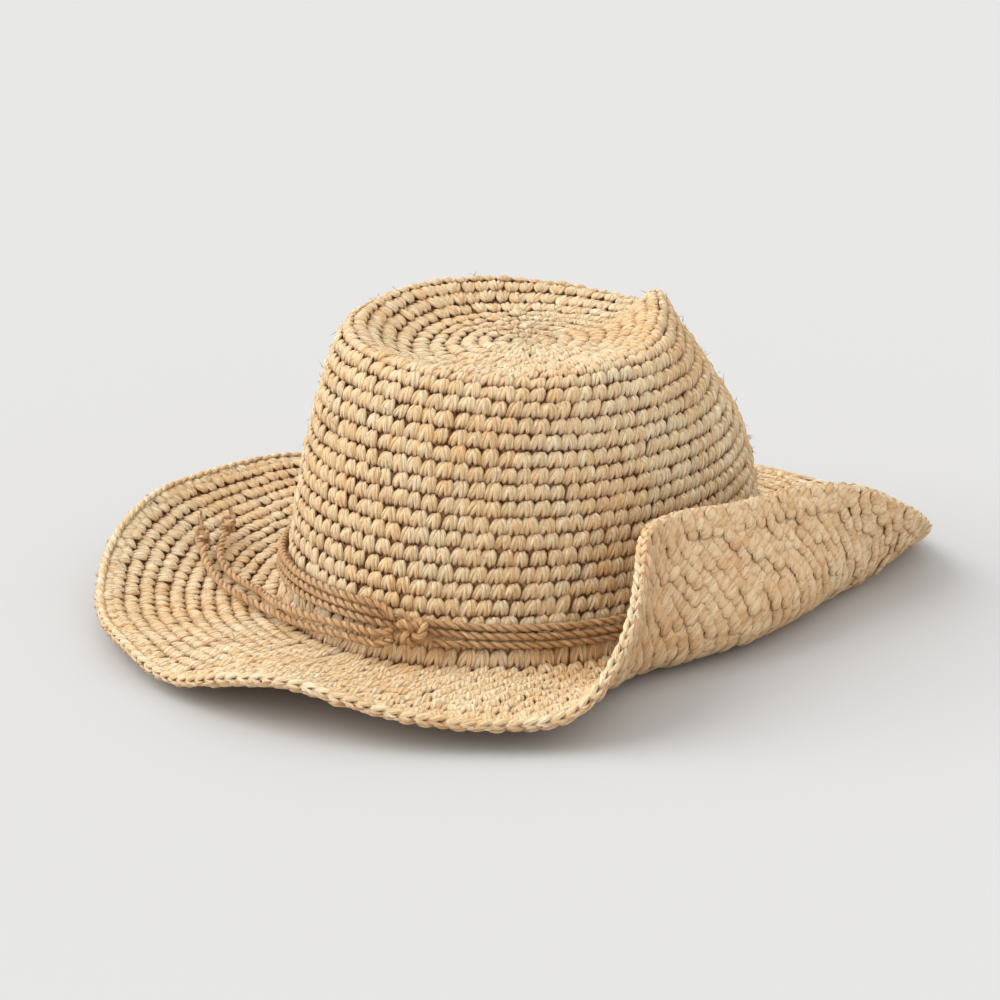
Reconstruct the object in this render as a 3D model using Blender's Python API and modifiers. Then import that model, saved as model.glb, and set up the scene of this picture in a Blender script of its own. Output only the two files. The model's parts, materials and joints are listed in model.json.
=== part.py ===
"""Crocheted raffia cowboy hat with a creased crown, a brim rolled at the sides and a tied cord hatband.

Metres, +Z up. The wearer looks along -Y and +X is the wearer's left. Angles turn about the head's
axis: 0 is the wearer's left, 90 the back, 180 the right and 270 the front. The hat is modelled about
the centre of its headline and then stood on the ground, centred on its own box.
"""

import math
from functools import lru_cache

import bmesh
import bpy
from mathutils import Vector

# The headline and the crown
HEAD_LENGTH = 0.209  # outside the raffia, front to back, at the foot of the crown
HEAD_WIDTH = 0.177  # outside the raffia, side to side
CROWN_HEIGHT = 0.110  # headline to the ridge at the back of the crease
CREASE_FLOOR = 0.870  # height of the tip's middle, as a share of the crown's height
CREASE_RING = (0.3, 0.880)  # radius and height, as shares, of the low swell round that middle
OUTLINE_STEPS = 12  # straight steps in each span of a smooth curve
FABRIC = 0.004  # thickness of the crocheted raffia
CROWN_FOOT = 0.004  # where the crown's side ends above the headline

# Shape of the crown at each angle, left, back, right and front in turn: its radius, as a share of the
# headline's, at a quarter, a half and three quarters of its height, then the radius and the height
# (a share of the crown's) of the shoulder, the ridge and the foot of the crease's wall.
QUARTERS = (0.273, 0.545, 0.773)
CROWN_STATIONS = (
    (0, 0.965, 0.910, 0.840, 0.760, 0.955, 0.680, 0.991, 0.500, 0.860),
    (45, 0.955, 0.900, 0.835, 0.770, 0.927, 0.690, 1.000, 0.480, 0.835),
    (90, 0.955, 0.905, 0.845, 0.775, 0.918, 0.690, 0.975, 0.490, 0.865),
    (135, 0.965, 0.910, 0.845, 0.770, 0.909, 0.670, 0.945, 0.480, 0.900),
    (180, 0.965, 0.905, 0.825, 0.740, 0.927, 0.640, 0.955, 0.450, 0.900),
    (212, 0.970, 0.920, 0.765, 0.645, 0.930, 0.575, 1.025, 0.430, 0.910),
    (235, 0.980, 0.925, 0.740, 0.615, 0.940, 0.550, 1.075, 0.430, 0.925),
    (258, 0.988, 0.943, 0.765, 0.640, 0.885, 0.570, 0.955, 0.440, 0.890),
    (280, 0.988, 0.948, 0.795, 0.660, 0.885, 0.590, 0.940, 0.460, 0.870),
    (300, 0.985, 0.942, 0.810, 0.690, 0.900, 0.610, 0.955, 0.480, 0.865),
    (325, 0.973, 0.928, 0.830, 0.735, 0.930, 0.655, 0.975, 0.500, 0.860),
)
CROWN_ROUNDS = 28  # rounds of crochet from the headline to the middle of the tip
TIP_ROUNDS = 8  # of those, the rounds of the tip

# The brim and its edge
BRIM_WIDTH = 0.071  # along the cloth, from the crown to the edge round
BRIM_BREAK = 0.006  # radius of the turn from the crown's side into the brim
BRIM_START = -86  # slope of the brim's first stitches, in degrees, where they leave the crown
BRIM_ROUNDS = 12
BRIM_STEPS = 72  # straight steps in the brim's outline
# Shape of the brim at each angle: its slope in degrees past the break and at the edge, and where
# along the width it begins to bend and has done bending.
BRIM_STATIONS = (
    (6, 2, 26, 0.20, 1.00),
    (30, 2, 31, 0.20, 1.00),
    (48, -1, 17, 0.20, 1.00),
    (60, 1, 8, 0.20, 1.00),
    (71, 6, 4, 0.20, 1.00),
    (82, 9, -5, 0.30, 1.00),
    (91, 11, 8, 0.30, 1.00),
    (100, 12, 16, 0.30, 1.00),
    (112, 11, 5, 0.30, 1.00),
    (124, 10, -2, 0.40, 1.00),
    (132, 8, 6, 0.40, 1.00),
    (140, 4, 45, 0.25, 0.80),
    (149, 0, 90, 0.12, 0.60),
    (160, 0, 105, 0.10, 0.56),
    (180, 0, 112, 0.12, 0.64),
    (200, -2, 111, 0.14, 0.72),
    (213, -6, 90, 0.16, 0.78),
    (225, -12, 62, 0.22, 0.92),
    (240, -8, 18, 0.30, 1.00),
    (262, 3, -8, 0.40, 1.00),
    (285, 6, -8, 0.30, 1.00),
    (312, 4, 4, 0.25, 1.00),
    (338, 3, 9, 0.20, 1.00),
    (350, 3, 17, 0.20, 1.00),
)
EDGE_RADIUS = 0.003  # the braided edge round
EDGE_MOUTH = 125  # half of the arc that the edge round's section covers, in degrees
WIRE_RADIUS = 0.0006
GAP = 0.0003  # between pieces that touch
BEND_RADIUS = 0.016  # of the bend over the crown ridge, where two rounds meet
SEAM_GAP = FABRIC**2 / BEND_RADIUS  # between rounds that are crocheted into each other

# The sweatband
SWEATBAND_HEIGHT = 0.032
SWEATBAND_FOOT = 0.001  # above the headline
SWEATBAND_THICKNESS = 0.0012
SWEATBAND_ROWS = 4
THREAD_RADIUS = 0.0004
THREAD_RISE = 0.004  # the seam above the sweatband's lower edge
THREAD_SWING = 0.0012  # how far the zigzag seam swings up and down
THREAD_STITCHES = 40

# The hatband: one cord, wound round and knotted at the back, with two loose tails
CORD_RADIUS = 0.0015
BAND_TURNS = 3
BAND_RISE = 0.0050  # the first turn's centre above the headline
BAND_LIFT = 0.0040  # how much higher the band rides behind the wearer's left ear
BAND_LIFT_ANGLE = 80
BAND_LIFT_SPREAD = 75  # degrees to either side over which it comes down again
KNOT_ANGLE = 107
KNOT_CLEAR = 0.009  # room beside the knot, where the band's ends leave the crown
END_OUT = 1.9  # how much further out the band's ends lie there
END_REACH = 0.75  # the share of that room at which they do
KNOT_HALF = Vector((0.0065, 0.0040, 0.0056))
KNOT_ROUNDING = 0.0025
END_KNOT_RADIUS = 0.0033
END_KNOT_STRETCH = 1.35

# Each tail's route over the brim: the angle, how far across the brim and how high over it, in
# millimetres, at its centre.
LONG_TAIL = (
    (100, 12.6, 11.0), (93, 10.2, 10.8), (85, 8.2, 10.0), (76, 8.4, 8.2), (66, 8.8, 6.0), (57, 11.5, 4.0),
    (49, 17.5, 2.7), (42.6, 25.3, 2.3), (37.7, 30.8, 2.3), (33.6, 34.2, 2.3), (29.0, 36.8, 2.6), (25.5, 38.8, 3.9),
)
SHORT_TAIL = (
    (100, 12.2, 6.8), (93, 10.0, 6.7), (85, 8.2, 5.9), (77, 8.8, 4.4), (69, 10.5, 3.0), (62, 14.0, 2.5),
    (55, 20.5, 2.3), (48, 27.2, 2.3), (42, 33.2, 2.3), (37, 38.5, 2.4), (33.4, 42.0, 3.9),
)

AROUND = 64  # facets round the head
CORD_AROUND = 48  # points in one turn of the hatband
CORD_STEP = 0.0075  # spacing of the points along a tail
MM = 0.001

RAFFIA = (0.78, 0.60, 0.38)
RAFFIA_CORD = (0.62, 0.42, 0.24)
COTTON = (0.80, 0.74, 0.63)
THREAD = (0.86, 0.80, 0.68)
WIRE = (0.62, 0.62, 0.60)


def new_material(name, colour, roughness, metallic=0.0):
    material = bpy.data.materials.new(name)
    material.use_nodes = True
    principled = material.node_tree.nodes["Principled BSDF"]
    principled.inputs["Base Color"].default_value = (*colour, 1)
    principled.inputs["Roughness"].default_value = roughness
    principled.inputs["Metallic"].default_value = metallic
    return material


def station_value(stations, column, angle):
    """A column's value at an angle, on a smooth closed curve through the stations."""
    count = len(stations)
    place = sum(1 for row in stations if row[0] <= angle % 360) - 1

    def knot(i):
        turns, index = divmod(place + i, count)
        return stations[index][0] + 360 * turns, stations[index][column]

    (x0, y0), (x1, y1), (x2, y2), (x3, y3) = (knot(i) for i in (-1, 0, 1, 2))
    t = (angle % 360 - x1) / (x2 - x1)
    start_slope = (y2 - y0) / (x2 - x0) * (x2 - x1)
    end_slope = (y3 - y1) / (x3 - x1) * (x2 - x1)
    return (
        (2 * t**3 - 3 * t**2 + 1) * y1
        + (t**3 - 2 * t**2 + t) * start_slope
        + (3 * t**2 - 2 * t**3) * y2
        + (t**3 - t**2) * end_slope
    )


def spline_point(controls, place):
    """A point of the uniform cubic B-spline that starts and ends on its first and last control."""
    ends = (2 * controls[0] - controls[1], 2 * controls[-1] - controls[-2])
    padded = [ends[0], *controls, ends[1]]
    start = min(int(place), len(controls) - 2)
    t = place - start
    weights = ((1 - t) ** 3, 3 * t**3 - 6 * t**2 + 4, -3 * t**3 + 3 * t**2 + 3 * t + 1, t**3)
    return sum((w * padded[start + i] for i, w in enumerate(weights)), Vector((0, 0))) / 6


def along(points, distance):
    """The point at a distance along a run of points."""
    for a, b in zip(points, points[1:]):
        length = (b - a).length
        if distance <= length:
            return a.lerp(b, distance / length)
        distance -= length
    return points[-1]


def run_length(points):
    return sum((b - a).length for a, b in zip(points, points[1:]))


def headline_radius(angle):
    turn = math.radians(angle)
    across = HEAD_WIDTH / 2
    deep = HEAD_LENGTH / 2
    return across * deep / math.hypot(across * math.sin(turn), deep * math.cos(turn))


@lru_cache(maxsize=None)
def crown_meridian(angle):
    """The crown's outline at an angle, from its foot to the middle of the tip, as (radius, height)."""
    values = [station_value(CROWN_STATIONS, column, angle) for column in range(1, 10)]
    shares = [(1.0, 0.0), *zip(values[:3], QUARTERS)]
    shares += [(values[3], values[4]), (values[5], values[6]), (values[7], values[8])]
    shares += [CREASE_RING, (0.0, CREASE_FLOOR)]
    radius = headline_radius(angle)
    controls = [Vector((share * radius, height * CROWN_HEIGHT)) for share, height in shares]
    samples = OUTLINE_STEPS * (len(controls) - 1)
    line = [spline_point(controls, i / OUTLINE_STEPS) for i in range(samples + 1)]
    return [point for point in line if point.y >= CROWN_FOOT]


def crown_point(angle, rounds):
    """A point on the outside of the crown, so many rounds of crochet up from its foot."""
    line = crown_meridian(angle)
    radius, height = along(line, rounds / CROWN_ROUNDS * run_length(line))
    turn = math.radians(angle)
    return Vector((radius * math.cos(turn), radius * math.sin(turn), height))


def crown_radius(angle, height):
    """How far the outside of the crown's side is from the head's axis at a height."""
    line = crown_meridian(angle)
    for a, b in zip(line, line[1:]):
        if b.y >= height:
            return a.x + (b.x - a.x) * max(height - a.y, 0) / (b.y - a.y)
    return line[-1].x


def oval_normal(angle):
    """The level direction that leaves the headline's oval squarely at an angle."""
    turn = math.radians(angle)
    return Vector((math.cos(turn) * HEAD_LENGTH, math.sin(turn) * HEAD_WIDTH, 0)).normalized()


def beside_crown(angle, height, out):
    """A point level with a height, a distance out from the crown's side."""
    turn = math.radians(angle)
    radius = crown_radius(angle, height)
    return Vector((radius * math.cos(turn), radius * math.sin(turn), height)) + out * oval_normal(angle)


def brim_slope(angle, share):
    """The brim's slope in radians, a share of the way across."""
    start, end, bend_from, bend_to = (station_value(BRIM_STATIONS, i, angle) for i in (1, 2, 3, 4))
    t = min(max((share - bend_from) / (bend_to - bend_from), 0), 1)
    slope = start + (end - start) * t * t * (3 - 2 * t)
    turned = min(share * BRIM_WIDTH / (BRIM_BREAK * math.pi / 2), 1)
    return math.radians(BRIM_START * (1 - turned) + slope * turned)


@lru_cache(maxsize=None)
def brim_meridian(angle):
    """The brim's upper outline at an angle, from the crown outwards, as (distance out, height)."""
    step = BRIM_WIDTH / BRIM_STEPS
    point = Vector((0, CROWN_FOOT))
    line = [point]
    for i in range(BRIM_STEPS):
        slope = brim_slope(angle, (i + 0.5) / BRIM_STEPS)
        point = point + step * Vector((math.cos(slope), math.sin(slope)))
        line.append(point)
    return line


def brim_point(angle, across, lift=0.0, beyond=0.0):
    """A point on the brim: across it, lifted off its upper side, and beyond along its slope."""
    line = brim_meridian(angle)
    out, height = along(line, across)
    slope = brim_slope(angle, across / BRIM_WIDTH)
    out += beyond * math.cos(slope) - lift * math.sin(slope)
    height += beyond * math.sin(slope) + lift * math.cos(slope)
    foot = crown_point(angle, 0)
    return Vector((foot.x, foot.y, height)) + out * oval_normal(angle)


def lofted(name, material, point_at, around, along_steps):
    """A surface over a grid: point_at(share around, share along), with its seams merged."""
    bm = bmesh.new()
    bmesh.ops.create_grid(bm, x_segments=around, y_segments=along_steps, size=1)
    for vertex in bm.verts:
        vertex.co = point_at((vertex.co.x + 1) / 2, (vertex.co.y + 1) / 2)
    bmesh.ops.remove_doubles(bm, verts=bm.verts, dist=0.00001)
    mesh = bpy.data.meshes.new(name)
    bm.to_mesh(mesh)
    bm.free()
    mesh.materials.append(material)
    return bpy.data.objects.new(name, mesh)


def cloth_shell(piece):
    """The raffia's thickness, inwards from the modelled outer side."""
    solidify = piece.modifiers.new("Raffia thickness", "SOLIDIFY")
    solidify.thickness = FABRIC
    solidify.offset = -1
    solidify.use_even_offset = True
    solidify.use_quality_normals = True
    return piece


def whole_degrees(share):
    """The angle at a share of the way round, the same number at both ends of the seam."""
    return round(360 * share, 6) % 360


def crown_side(material):
    last = CROWN_ROUNDS - TIP_ROUNDS
    seam = SEAM_GAP / (CROWN_HEIGHT / CROWN_ROUNDS)

    def point(u, v):
        return crown_point(whole_degrees(u), seam / 2 + v * (last - seam))

    return cloth_shell(lofted("crown_side", material, point, AROUND, last - 5))


def crown_tip(material):
    first = CROWN_ROUNDS - TIP_ROUNDS
    seam = SEAM_GAP / (CROWN_HEIGHT / CROWN_ROUNDS)

    def point(u, v):
        return crown_point(whole_degrees(u), first + seam / 2 + v * (TIP_ROUNDS - seam / 2))

    return cloth_shell(lofted("crown_tip", material, point, AROUND, TIP_ROUNDS // 2 + 1))


def brim(material):
    def point(u, v):
        return brim_point(whole_degrees(u), (1 - v) * BRIM_WIDTH)

    return cloth_shell(lofted("brim", material, point, AROUND, BRIM_ROUNDS + 2))


def edge_frame(angle):
    """The edge round's middle, and the directions beyond the rim and up off the brim there."""
    rim = brim_point(angle, BRIM_WIDTH)
    forward = (brim_point(angle + 1, BRIM_WIDTH) - brim_point(angle - 1, BRIM_WIDTH)).normalized()
    up = (rim - brim_point(angle, BRIM_WIDTH, beyond=-MM)).cross(forward).normalized()
    beyond = forward.cross(up)
    mouth = -EDGE_RADIUS * math.cos(math.radians(EDGE_MOUTH))
    return rim - FABRIC / 2 * up + (SEAM_GAP + mouth) * beyond, beyond, up


def edge_section():
    """The edge round's section, a C that holds the wire, as (beyond the rim, up) about its middle."""
    bore = WIRE_RADIUS + GAP
    outer = [math.radians(EDGE_MOUTH * (i / 4 - 1)) for i in range(9)]
    inner = [math.radians(EDGE_MOUTH * (1 - i / 3)) for i in range(7)]
    arc = [(EDGE_RADIUS * math.cos(a), EDGE_RADIUS * math.sin(a)) for a in outer]
    return arc + [(bore * math.cos(a), bore * math.sin(a)) for a in inner]


def brim_edge_round(material):
    section = edge_section()

    def point(u, v):
        across, rise = section[round(v * len(section)) % len(section)]
        middle, beyond, up = edge_frame(whole_degrees(u))
        return middle + across * beyond + rise * up

    return lofted("brim_edge_round", material, point, AROUND, len(section))


def tube(name, material, points, radius, cyclic=False):
    """A round tube through points, with closed ends."""
    curve = bpy.data.curves.new(name, "CURVE")
    curve.dimensions = "3D"
    curve.bevel_depth = radius
    curve.bevel_resolution = 2 if radius > WIRE_RADIUS else 1
    curve.use_fill_caps = not cyclic
    spline = curve.splines.new("POLY")
    spline.points.add(len(points) - 1)
    for slot, point in zip(spline.points, points):
        slot.co = (*point, 1)
    spline.use_cyclic_u = cyclic
    curve.materials.append(material)
    return bpy.data.objects.new(name, curve)


def brim_edge_wire(material):
    angles = [360 * i / AROUND for i in range(AROUND)]
    return tube("brim_edge_wire", material, [edge_frame(a)[0] for a in angles], WIRE_RADIUS, cyclic=True)


def lining_point(angle, height, depth):
    """A point inside the crown, a depth in from the raffia's inner face."""
    return beside_crown(angle, height, -(FABRIC + GAP + depth))


def sweatband(material):
    rows = [SWEATBAND_FOOT + SWEATBAND_HEIGHT * i / SWEATBAND_ROWS for i in range(SWEATBAND_ROWS + 1)]
    section = [(height, GAP) for height in rows]
    section += [(height, GAP + SWEATBAND_THICKNESS) for height in reversed(rows)]

    def point(u, v):
        height, depth = section[round(v * len(section)) % len(section)]
        return lining_point(whole_degrees(u), height, depth)

    return lofted("sweatband", material, point, AROUND, len(section))


def sweatband_seam_thread(material):
    depth = GAP + SEAM_GAP + SWEATBAND_THICKNESS + THREAD_RADIUS
    points = []
    for i in range(2 * THREAD_STITCHES):
        swing = THREAD_SWING if i % 2 else -THREAD_SWING
        height = SWEATBAND_FOOT + THREAD_RISE + swing
        points.append(lining_point(360 * i / (2 * THREAD_STITCHES), height, depth))
    return tube("sweatband_seam_thread", material, points, THREAD_RADIUS, cyclic=True)


def band_height(angle):
    """How high the lowest turn of the hatband lies at an angle."""
    away = abs((angle - BAND_LIFT_ANGLE + 180) % 360 - 180) / BAND_LIFT_SPREAD
    return BAND_RISE + BAND_LIFT * math.cos(math.pi / 2 * min(away, 1)) ** 2


def knot_middle():
    """The hatband knot's middle, outside the turns that it ties."""
    height = band_height(KNOT_ANGLE) + ((BAND_TURNS - 1) * (2 * CORD_RADIUS + GAP) + CORD_RADIUS) / 2
    return beside_crown(KNOT_ANGLE, height, 2 * CORD_RADIUS + 3 * GAP + KNOT_HALF.y)


def beside_knot(side, out, up):
    """A point that faces the knot's side: out from its middle and up from it, as shares of its size."""
    along_band = Vector((0, 0, 1)).cross(oval_normal(KNOT_ANGLE))
    point = knot_middle() + side * (KNOT_HALF.x + 2 * GAP) * along_band
    return point + out * KNOT_HALF.y * oval_normal(KNOT_ANGLE) + Vector((0, 0, up * KNOT_HALF.z))


def hatband_route():
    """The whole of the hatband's wound cord: out of one side of the knot, round, and into the other."""
    pitch = 2 * CORD_RADIUS + GAP
    out = CORD_RADIUS + 2 * GAP
    clear = math.degrees((KNOT_HALF.x + KNOT_CLEAR) / (HEAD_WIDTH / 2))
    turned = 360 * BAND_TURNS - 2 * clear
    count = round(turned / 360 * CORD_AROUND)
    first = KNOT_ANGLE + clear * END_REACH
    last = KNOT_ANGLE - clear * END_REACH
    points = [beside_knot(1, -0.45, -0.65), beside_crown(first, band_height(first), END_OUT * out)]
    for i in range(count + 1):
        turn = clear + turned * i / count
        angle = (KNOT_ANGLE + turn) % 360
        points.append(beside_crown(angle, band_height(angle) + pitch * turn / 360, out))
    top = band_height(last) + pitch * BAND_TURNS + GAP
    points += [beside_crown(last, top, END_OUT * out), beside_knot(-1, -0.45, 0.72)]
    return points


def hatband_cord(material):
    return tube("hatband_cord", material, hatband_route(), CORD_RADIUS)


def hatband_knot(material):
    bpy.ops.mesh.primitive_cube_add(size=2, location=knot_middle())
    knot = bpy.context.object
    knot.name = knot.data.name = "hatband_knot"
    knot.scale = KNOT_HALF
    bpy.ops.object.transform_apply(location=False, rotation=False, scale=True)
    normal = oval_normal(KNOT_ANGLE)
    knot.rotation_euler.z = math.atan2(normal.y, normal.x) - math.pi / 2
    knot.data.materials.append(material)
    bevel = knot.modifiers.new("Rounded", "BEVEL")
    bevel.width = KNOT_ROUNDING
    bevel.segments = 4
    return knot


def smooth_run(points, step):
    """Evenly spaced points on a smooth curve through the given ones."""
    padded = [2 * points[0] - points[1], *points, 2 * points[-1] - points[-2]]
    fine = []
    for a, b, c, d in zip(padded, padded[1:], padded[2:], padded[3:]):
        for i in range(OUTLINE_STEPS):
            t = i / OUTLINE_STEPS
            pull = (c - a) * t + (2 * a - 5 * b + 4 * c - d) * t**2 + (3 * b - a - 3 * c + d) * t**3
            fine.append(b + pull / 2)
    fine.append(points[-1])
    length = run_length(fine)
    count = round(length / step)
    return [along(fine, length * i / count) for i in range(count + 1)]


def tail_route(stations, up):
    """A loose tail: straight out of the knot's side, then along the crown's foot and over the brim."""
    start = beside_knot(-1, 0.25, up)
    on_brim = [brim_point(angle, across * MM, lift=lift * MM) for angle, across, lift in stations]
    return smooth_run([start, *on_brim], CORD_STEP)


def end_knot(name, material, route):
    """The overhand knot at a tail's end, drawn as the rounded lump that it pulls into."""
    heading = (route[-1] - route[-2]).normalized()
    reach = END_KNOT_RADIUS * END_KNOT_STRETCH
    middle = route[-1] + (reach + GAP) * heading
    bpy.ops.mesh.primitive_uv_sphere_add(segments=16, ring_count=10, radius=END_KNOT_RADIUS, location=middle)
    knot = bpy.context.object
    knot.name = knot.data.name = name
    knot.scale.z = END_KNOT_STRETCH
    bpy.ops.object.transform_apply(location=False, rotation=False, scale=True)
    knot.rotation_euler = heading.to_track_quat("Z", "Y").to_euler()
    knot.data.materials.append(material)
    return knot


def new_collection(name):
    collection = bpy.data.collections.new(name)
    bpy.context.scene.collection.children.link(collection)
    return collection


def gather(pieces, collection, empty):
    """Puts pieces in a collection and hangs them on the empty of the body that they move with."""
    for piece in pieces:
        for holder in list(piece.users_collection):
            holder.objects.unlink(piece)
        collection.objects.link(piece)
        piece.parent = empty


def new_empty(name, collection):
    empty = bpy.data.objects.new(name, None)
    collection.objects.link(empty)
    return empty


def stand_on_ground(edge, empties):
    """Moves the bodies so that the origin is under the middle of the hat's box, on the ground."""
    corners = [vertex.co for vertex in edge.data.vertices]
    low = Vector(min(corner[axis] for corner in corners) for axis in range(3))
    high = Vector(max(corner[axis] for corner in corners) for axis in range(3))
    for empty in empties:
        empty.location = -Vector(((low.x + high.x) / 2, (low.y + high.y) / 2, low.z))


def main():
    for old in list(bpy.data.objects):
        bpy.data.objects.remove(old)
    raffia = new_material("raffia", RAFFIA, 0.75)
    raffia_cord = new_material("raffia_cord", RAFFIA_CORD, 0.75)
    cotton = new_material("cotton", COTTON, 0.9)
    thread = new_material("thread", THREAD, 0.8)
    steel = new_material("steel", WIRE, 0.35, metallic=1.0)
    collection = new_collection("Cowboy hat")
    hat_empty = new_empty("hat_body", collection)
    band_empty = new_empty("hatband_body", collection)
    edge = brim_edge_round(raffia)
    hat_pieces = [crown_tip(raffia), crown_side(raffia), brim(raffia), edge, brim_edge_wire(steel)]
    hat_pieces += [sweatband(cotton), sweatband_seam_thread(thread)]
    gather(hat_pieces, collection, hat_empty)
    long_route = tail_route(LONG_TAIL, 0.06)
    short_route = tail_route(SHORT_TAIL, -0.62)
    band_pieces = [hatband_cord(raffia_cord), hatband_knot(raffia_cord)]
    band_pieces += [tube("tail_long", raffia_cord, long_route, CORD_RADIUS)]
    band_pieces += [tube("tail_short", raffia_cord, short_route, CORD_RADIUS)]
    band_pieces += [end_knot("tail_long_knot", raffia_cord, long_route)]
    band_pieces += [end_knot("tail_short_knot", raffia_cord, short_route)]
    gather(band_pieces, collection, band_empty)
    stand_on_ground(edge, [hat_empty, band_empty])
    print("Head axis and headline at:", [round(value, 4) for value in hat_empty.location])
    print("Tail lengths:", round(run_length(long_route), 4), round(run_length(short_route), 4))
    print("Hatband cord:", round(run_length(hatband_route()), 4))


main()
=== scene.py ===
# %% [markdown]
# # A crocheted raffia cowboy hat
#
# The hat is one long strand of raffia, worked round and round from the middle of the crown's tip.
# Each stitch shows as a plump pair of crossing legs, and between the stitches there are small holes.
# A printed pattern on a smooth shell would lose those holes and the bumpy outline, so this lesson
# lays real stitches, thousands of them, over the hat's surface. Everything is in metres, +Z is up
# and the wearer looks along -Y.
#
# The first cell loads the hat's own engineering model, which stays fixed.

# %% Load the frame
import json
import math

import bmesh
import bpy
import numpy as np
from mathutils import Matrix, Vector

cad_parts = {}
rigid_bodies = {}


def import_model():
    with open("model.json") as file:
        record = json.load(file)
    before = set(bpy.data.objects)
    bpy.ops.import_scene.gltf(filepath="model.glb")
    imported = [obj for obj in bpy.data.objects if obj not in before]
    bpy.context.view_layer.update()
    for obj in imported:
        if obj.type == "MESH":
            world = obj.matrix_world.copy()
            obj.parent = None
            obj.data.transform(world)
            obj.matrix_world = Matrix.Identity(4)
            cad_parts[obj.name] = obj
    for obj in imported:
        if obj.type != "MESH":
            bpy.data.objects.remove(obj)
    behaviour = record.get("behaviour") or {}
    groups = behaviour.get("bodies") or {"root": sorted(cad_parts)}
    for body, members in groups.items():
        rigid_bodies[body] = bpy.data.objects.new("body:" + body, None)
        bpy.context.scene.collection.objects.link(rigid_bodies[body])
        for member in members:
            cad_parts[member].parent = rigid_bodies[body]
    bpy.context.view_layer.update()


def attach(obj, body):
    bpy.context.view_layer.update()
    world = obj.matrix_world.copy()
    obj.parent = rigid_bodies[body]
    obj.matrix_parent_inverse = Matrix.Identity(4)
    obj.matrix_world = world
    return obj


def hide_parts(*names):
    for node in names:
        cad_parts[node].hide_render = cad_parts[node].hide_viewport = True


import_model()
for old in list(bpy.data.objects):
    if old.type in {"CAMERA", "LIGHT"}:
        bpy.data.objects.remove(old)

# %% [markdown]
# ## Where the head is
#
# The origin is under the middle of the hat's box, level with the lowest point of the braided edge, so
# the head's axis is off to one side: the brim is rolled up on the wearer's right. The brim itself
# dips a few millimetres lower below the roll, into the floor. All the crown's outlines meet in the
# middle of the tip, so the corner that the most facets share gives the axis. The headline, where
# crown and brim meet, is a known depth below it.

# %% The head's axis and the headline
MM = 0.001
CROWN_HEIGHT = 110 * MM
CREASE_FLOOR = 0.870  # the middle of the tip, as a share of the crown's height

tip_mesh = bpy.data.objects["crown_tip"].data
corners = np.array([vertex.co for vertex in tip_mesh.vertices])
places, shared = np.unique(np.round(corners, 6), axis=0, return_counts=True)
poles = places[shared >= shared.max() * 0.8]
HEAD = Vector((*poles[:, :2].mean(0), poles[:, 2].max() - CREASE_FLOOR * CROWN_HEIGHT))
print("Headline centre:", [round(value, 4) for value in HEAD])

# %% [markdown]
# ## The camera
#
# It looks from behind the wearer's right shoulder, a little from above, with a long lens, so that
# the near brim isn't stretched.

# %% Camera
CAMERA_AZIMUTH = math.radians(220)
CAMERA_ELEVATION = math.radians(18.8)
CAMERA_DISTANCE = 1.5
FIELD = 0.3968  # width of the picture at the head's axis
FRAMING_RIGHT = -0.0099  # how far the camera is moved in its own plane, to frame the whole brim
FRAMING_UP = 0.0282

level = math.cos(CAMERA_ELEVATION)
to_camera = Vector((
    math.sin(CAMERA_AZIMUTH) * level, -math.cos(CAMERA_AZIMUTH) * level, math.sin(CAMERA_ELEVATION)
))
camera_right = Vector((math.cos(CAMERA_AZIMUTH), math.sin(CAMERA_AZIMUTH), 0))
camera_up = to_camera.cross(camera_right)
camera = bpy.data.objects.new("camera", bpy.data.cameras.new("camera"))
camera.data.sensor_width = 36
camera.data.lens = 36 * CAMERA_DISTANCE / FIELD
camera.data.clip_start = 0.05
camera.location = HEAD + CAMERA_DISTANCE * to_camera + FRAMING_RIGHT * camera_right + FRAMING_UP * camera_up
camera.rotation_euler = to_camera.to_track_quat("Z", "Y").to_euler()
bpy.context.scene.collection.objects.link(camera)
bpy.context.scene.camera = camera
print("Lens:", round(camera.data.lens, 1), "mm")

# %% [markdown]
# ## The hat's surface, again
#
# The frame's shells are coarse, with 64 facets round the head. Stitches laid on them would show the
# facets in the brim's outline, so the same stations are read here and turned into smooth surfaces.
# A station says how the hat looks in one direction from the head's axis: 0 is the wearer's left, 90
# the back, 180 the right and 270 the front. Between stations every value follows a smooth closed
# curve.

# %% The stations
HEAD_LENGTH = 209 * MM
HEAD_WIDTH = 177 * MM
CROWN_FOOT = 4 * MM
FABRIC = 4 * MM
QUARTERS = (0.273, 0.545, 0.773)
CREASE_RING = (0.3, 0.880)
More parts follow.
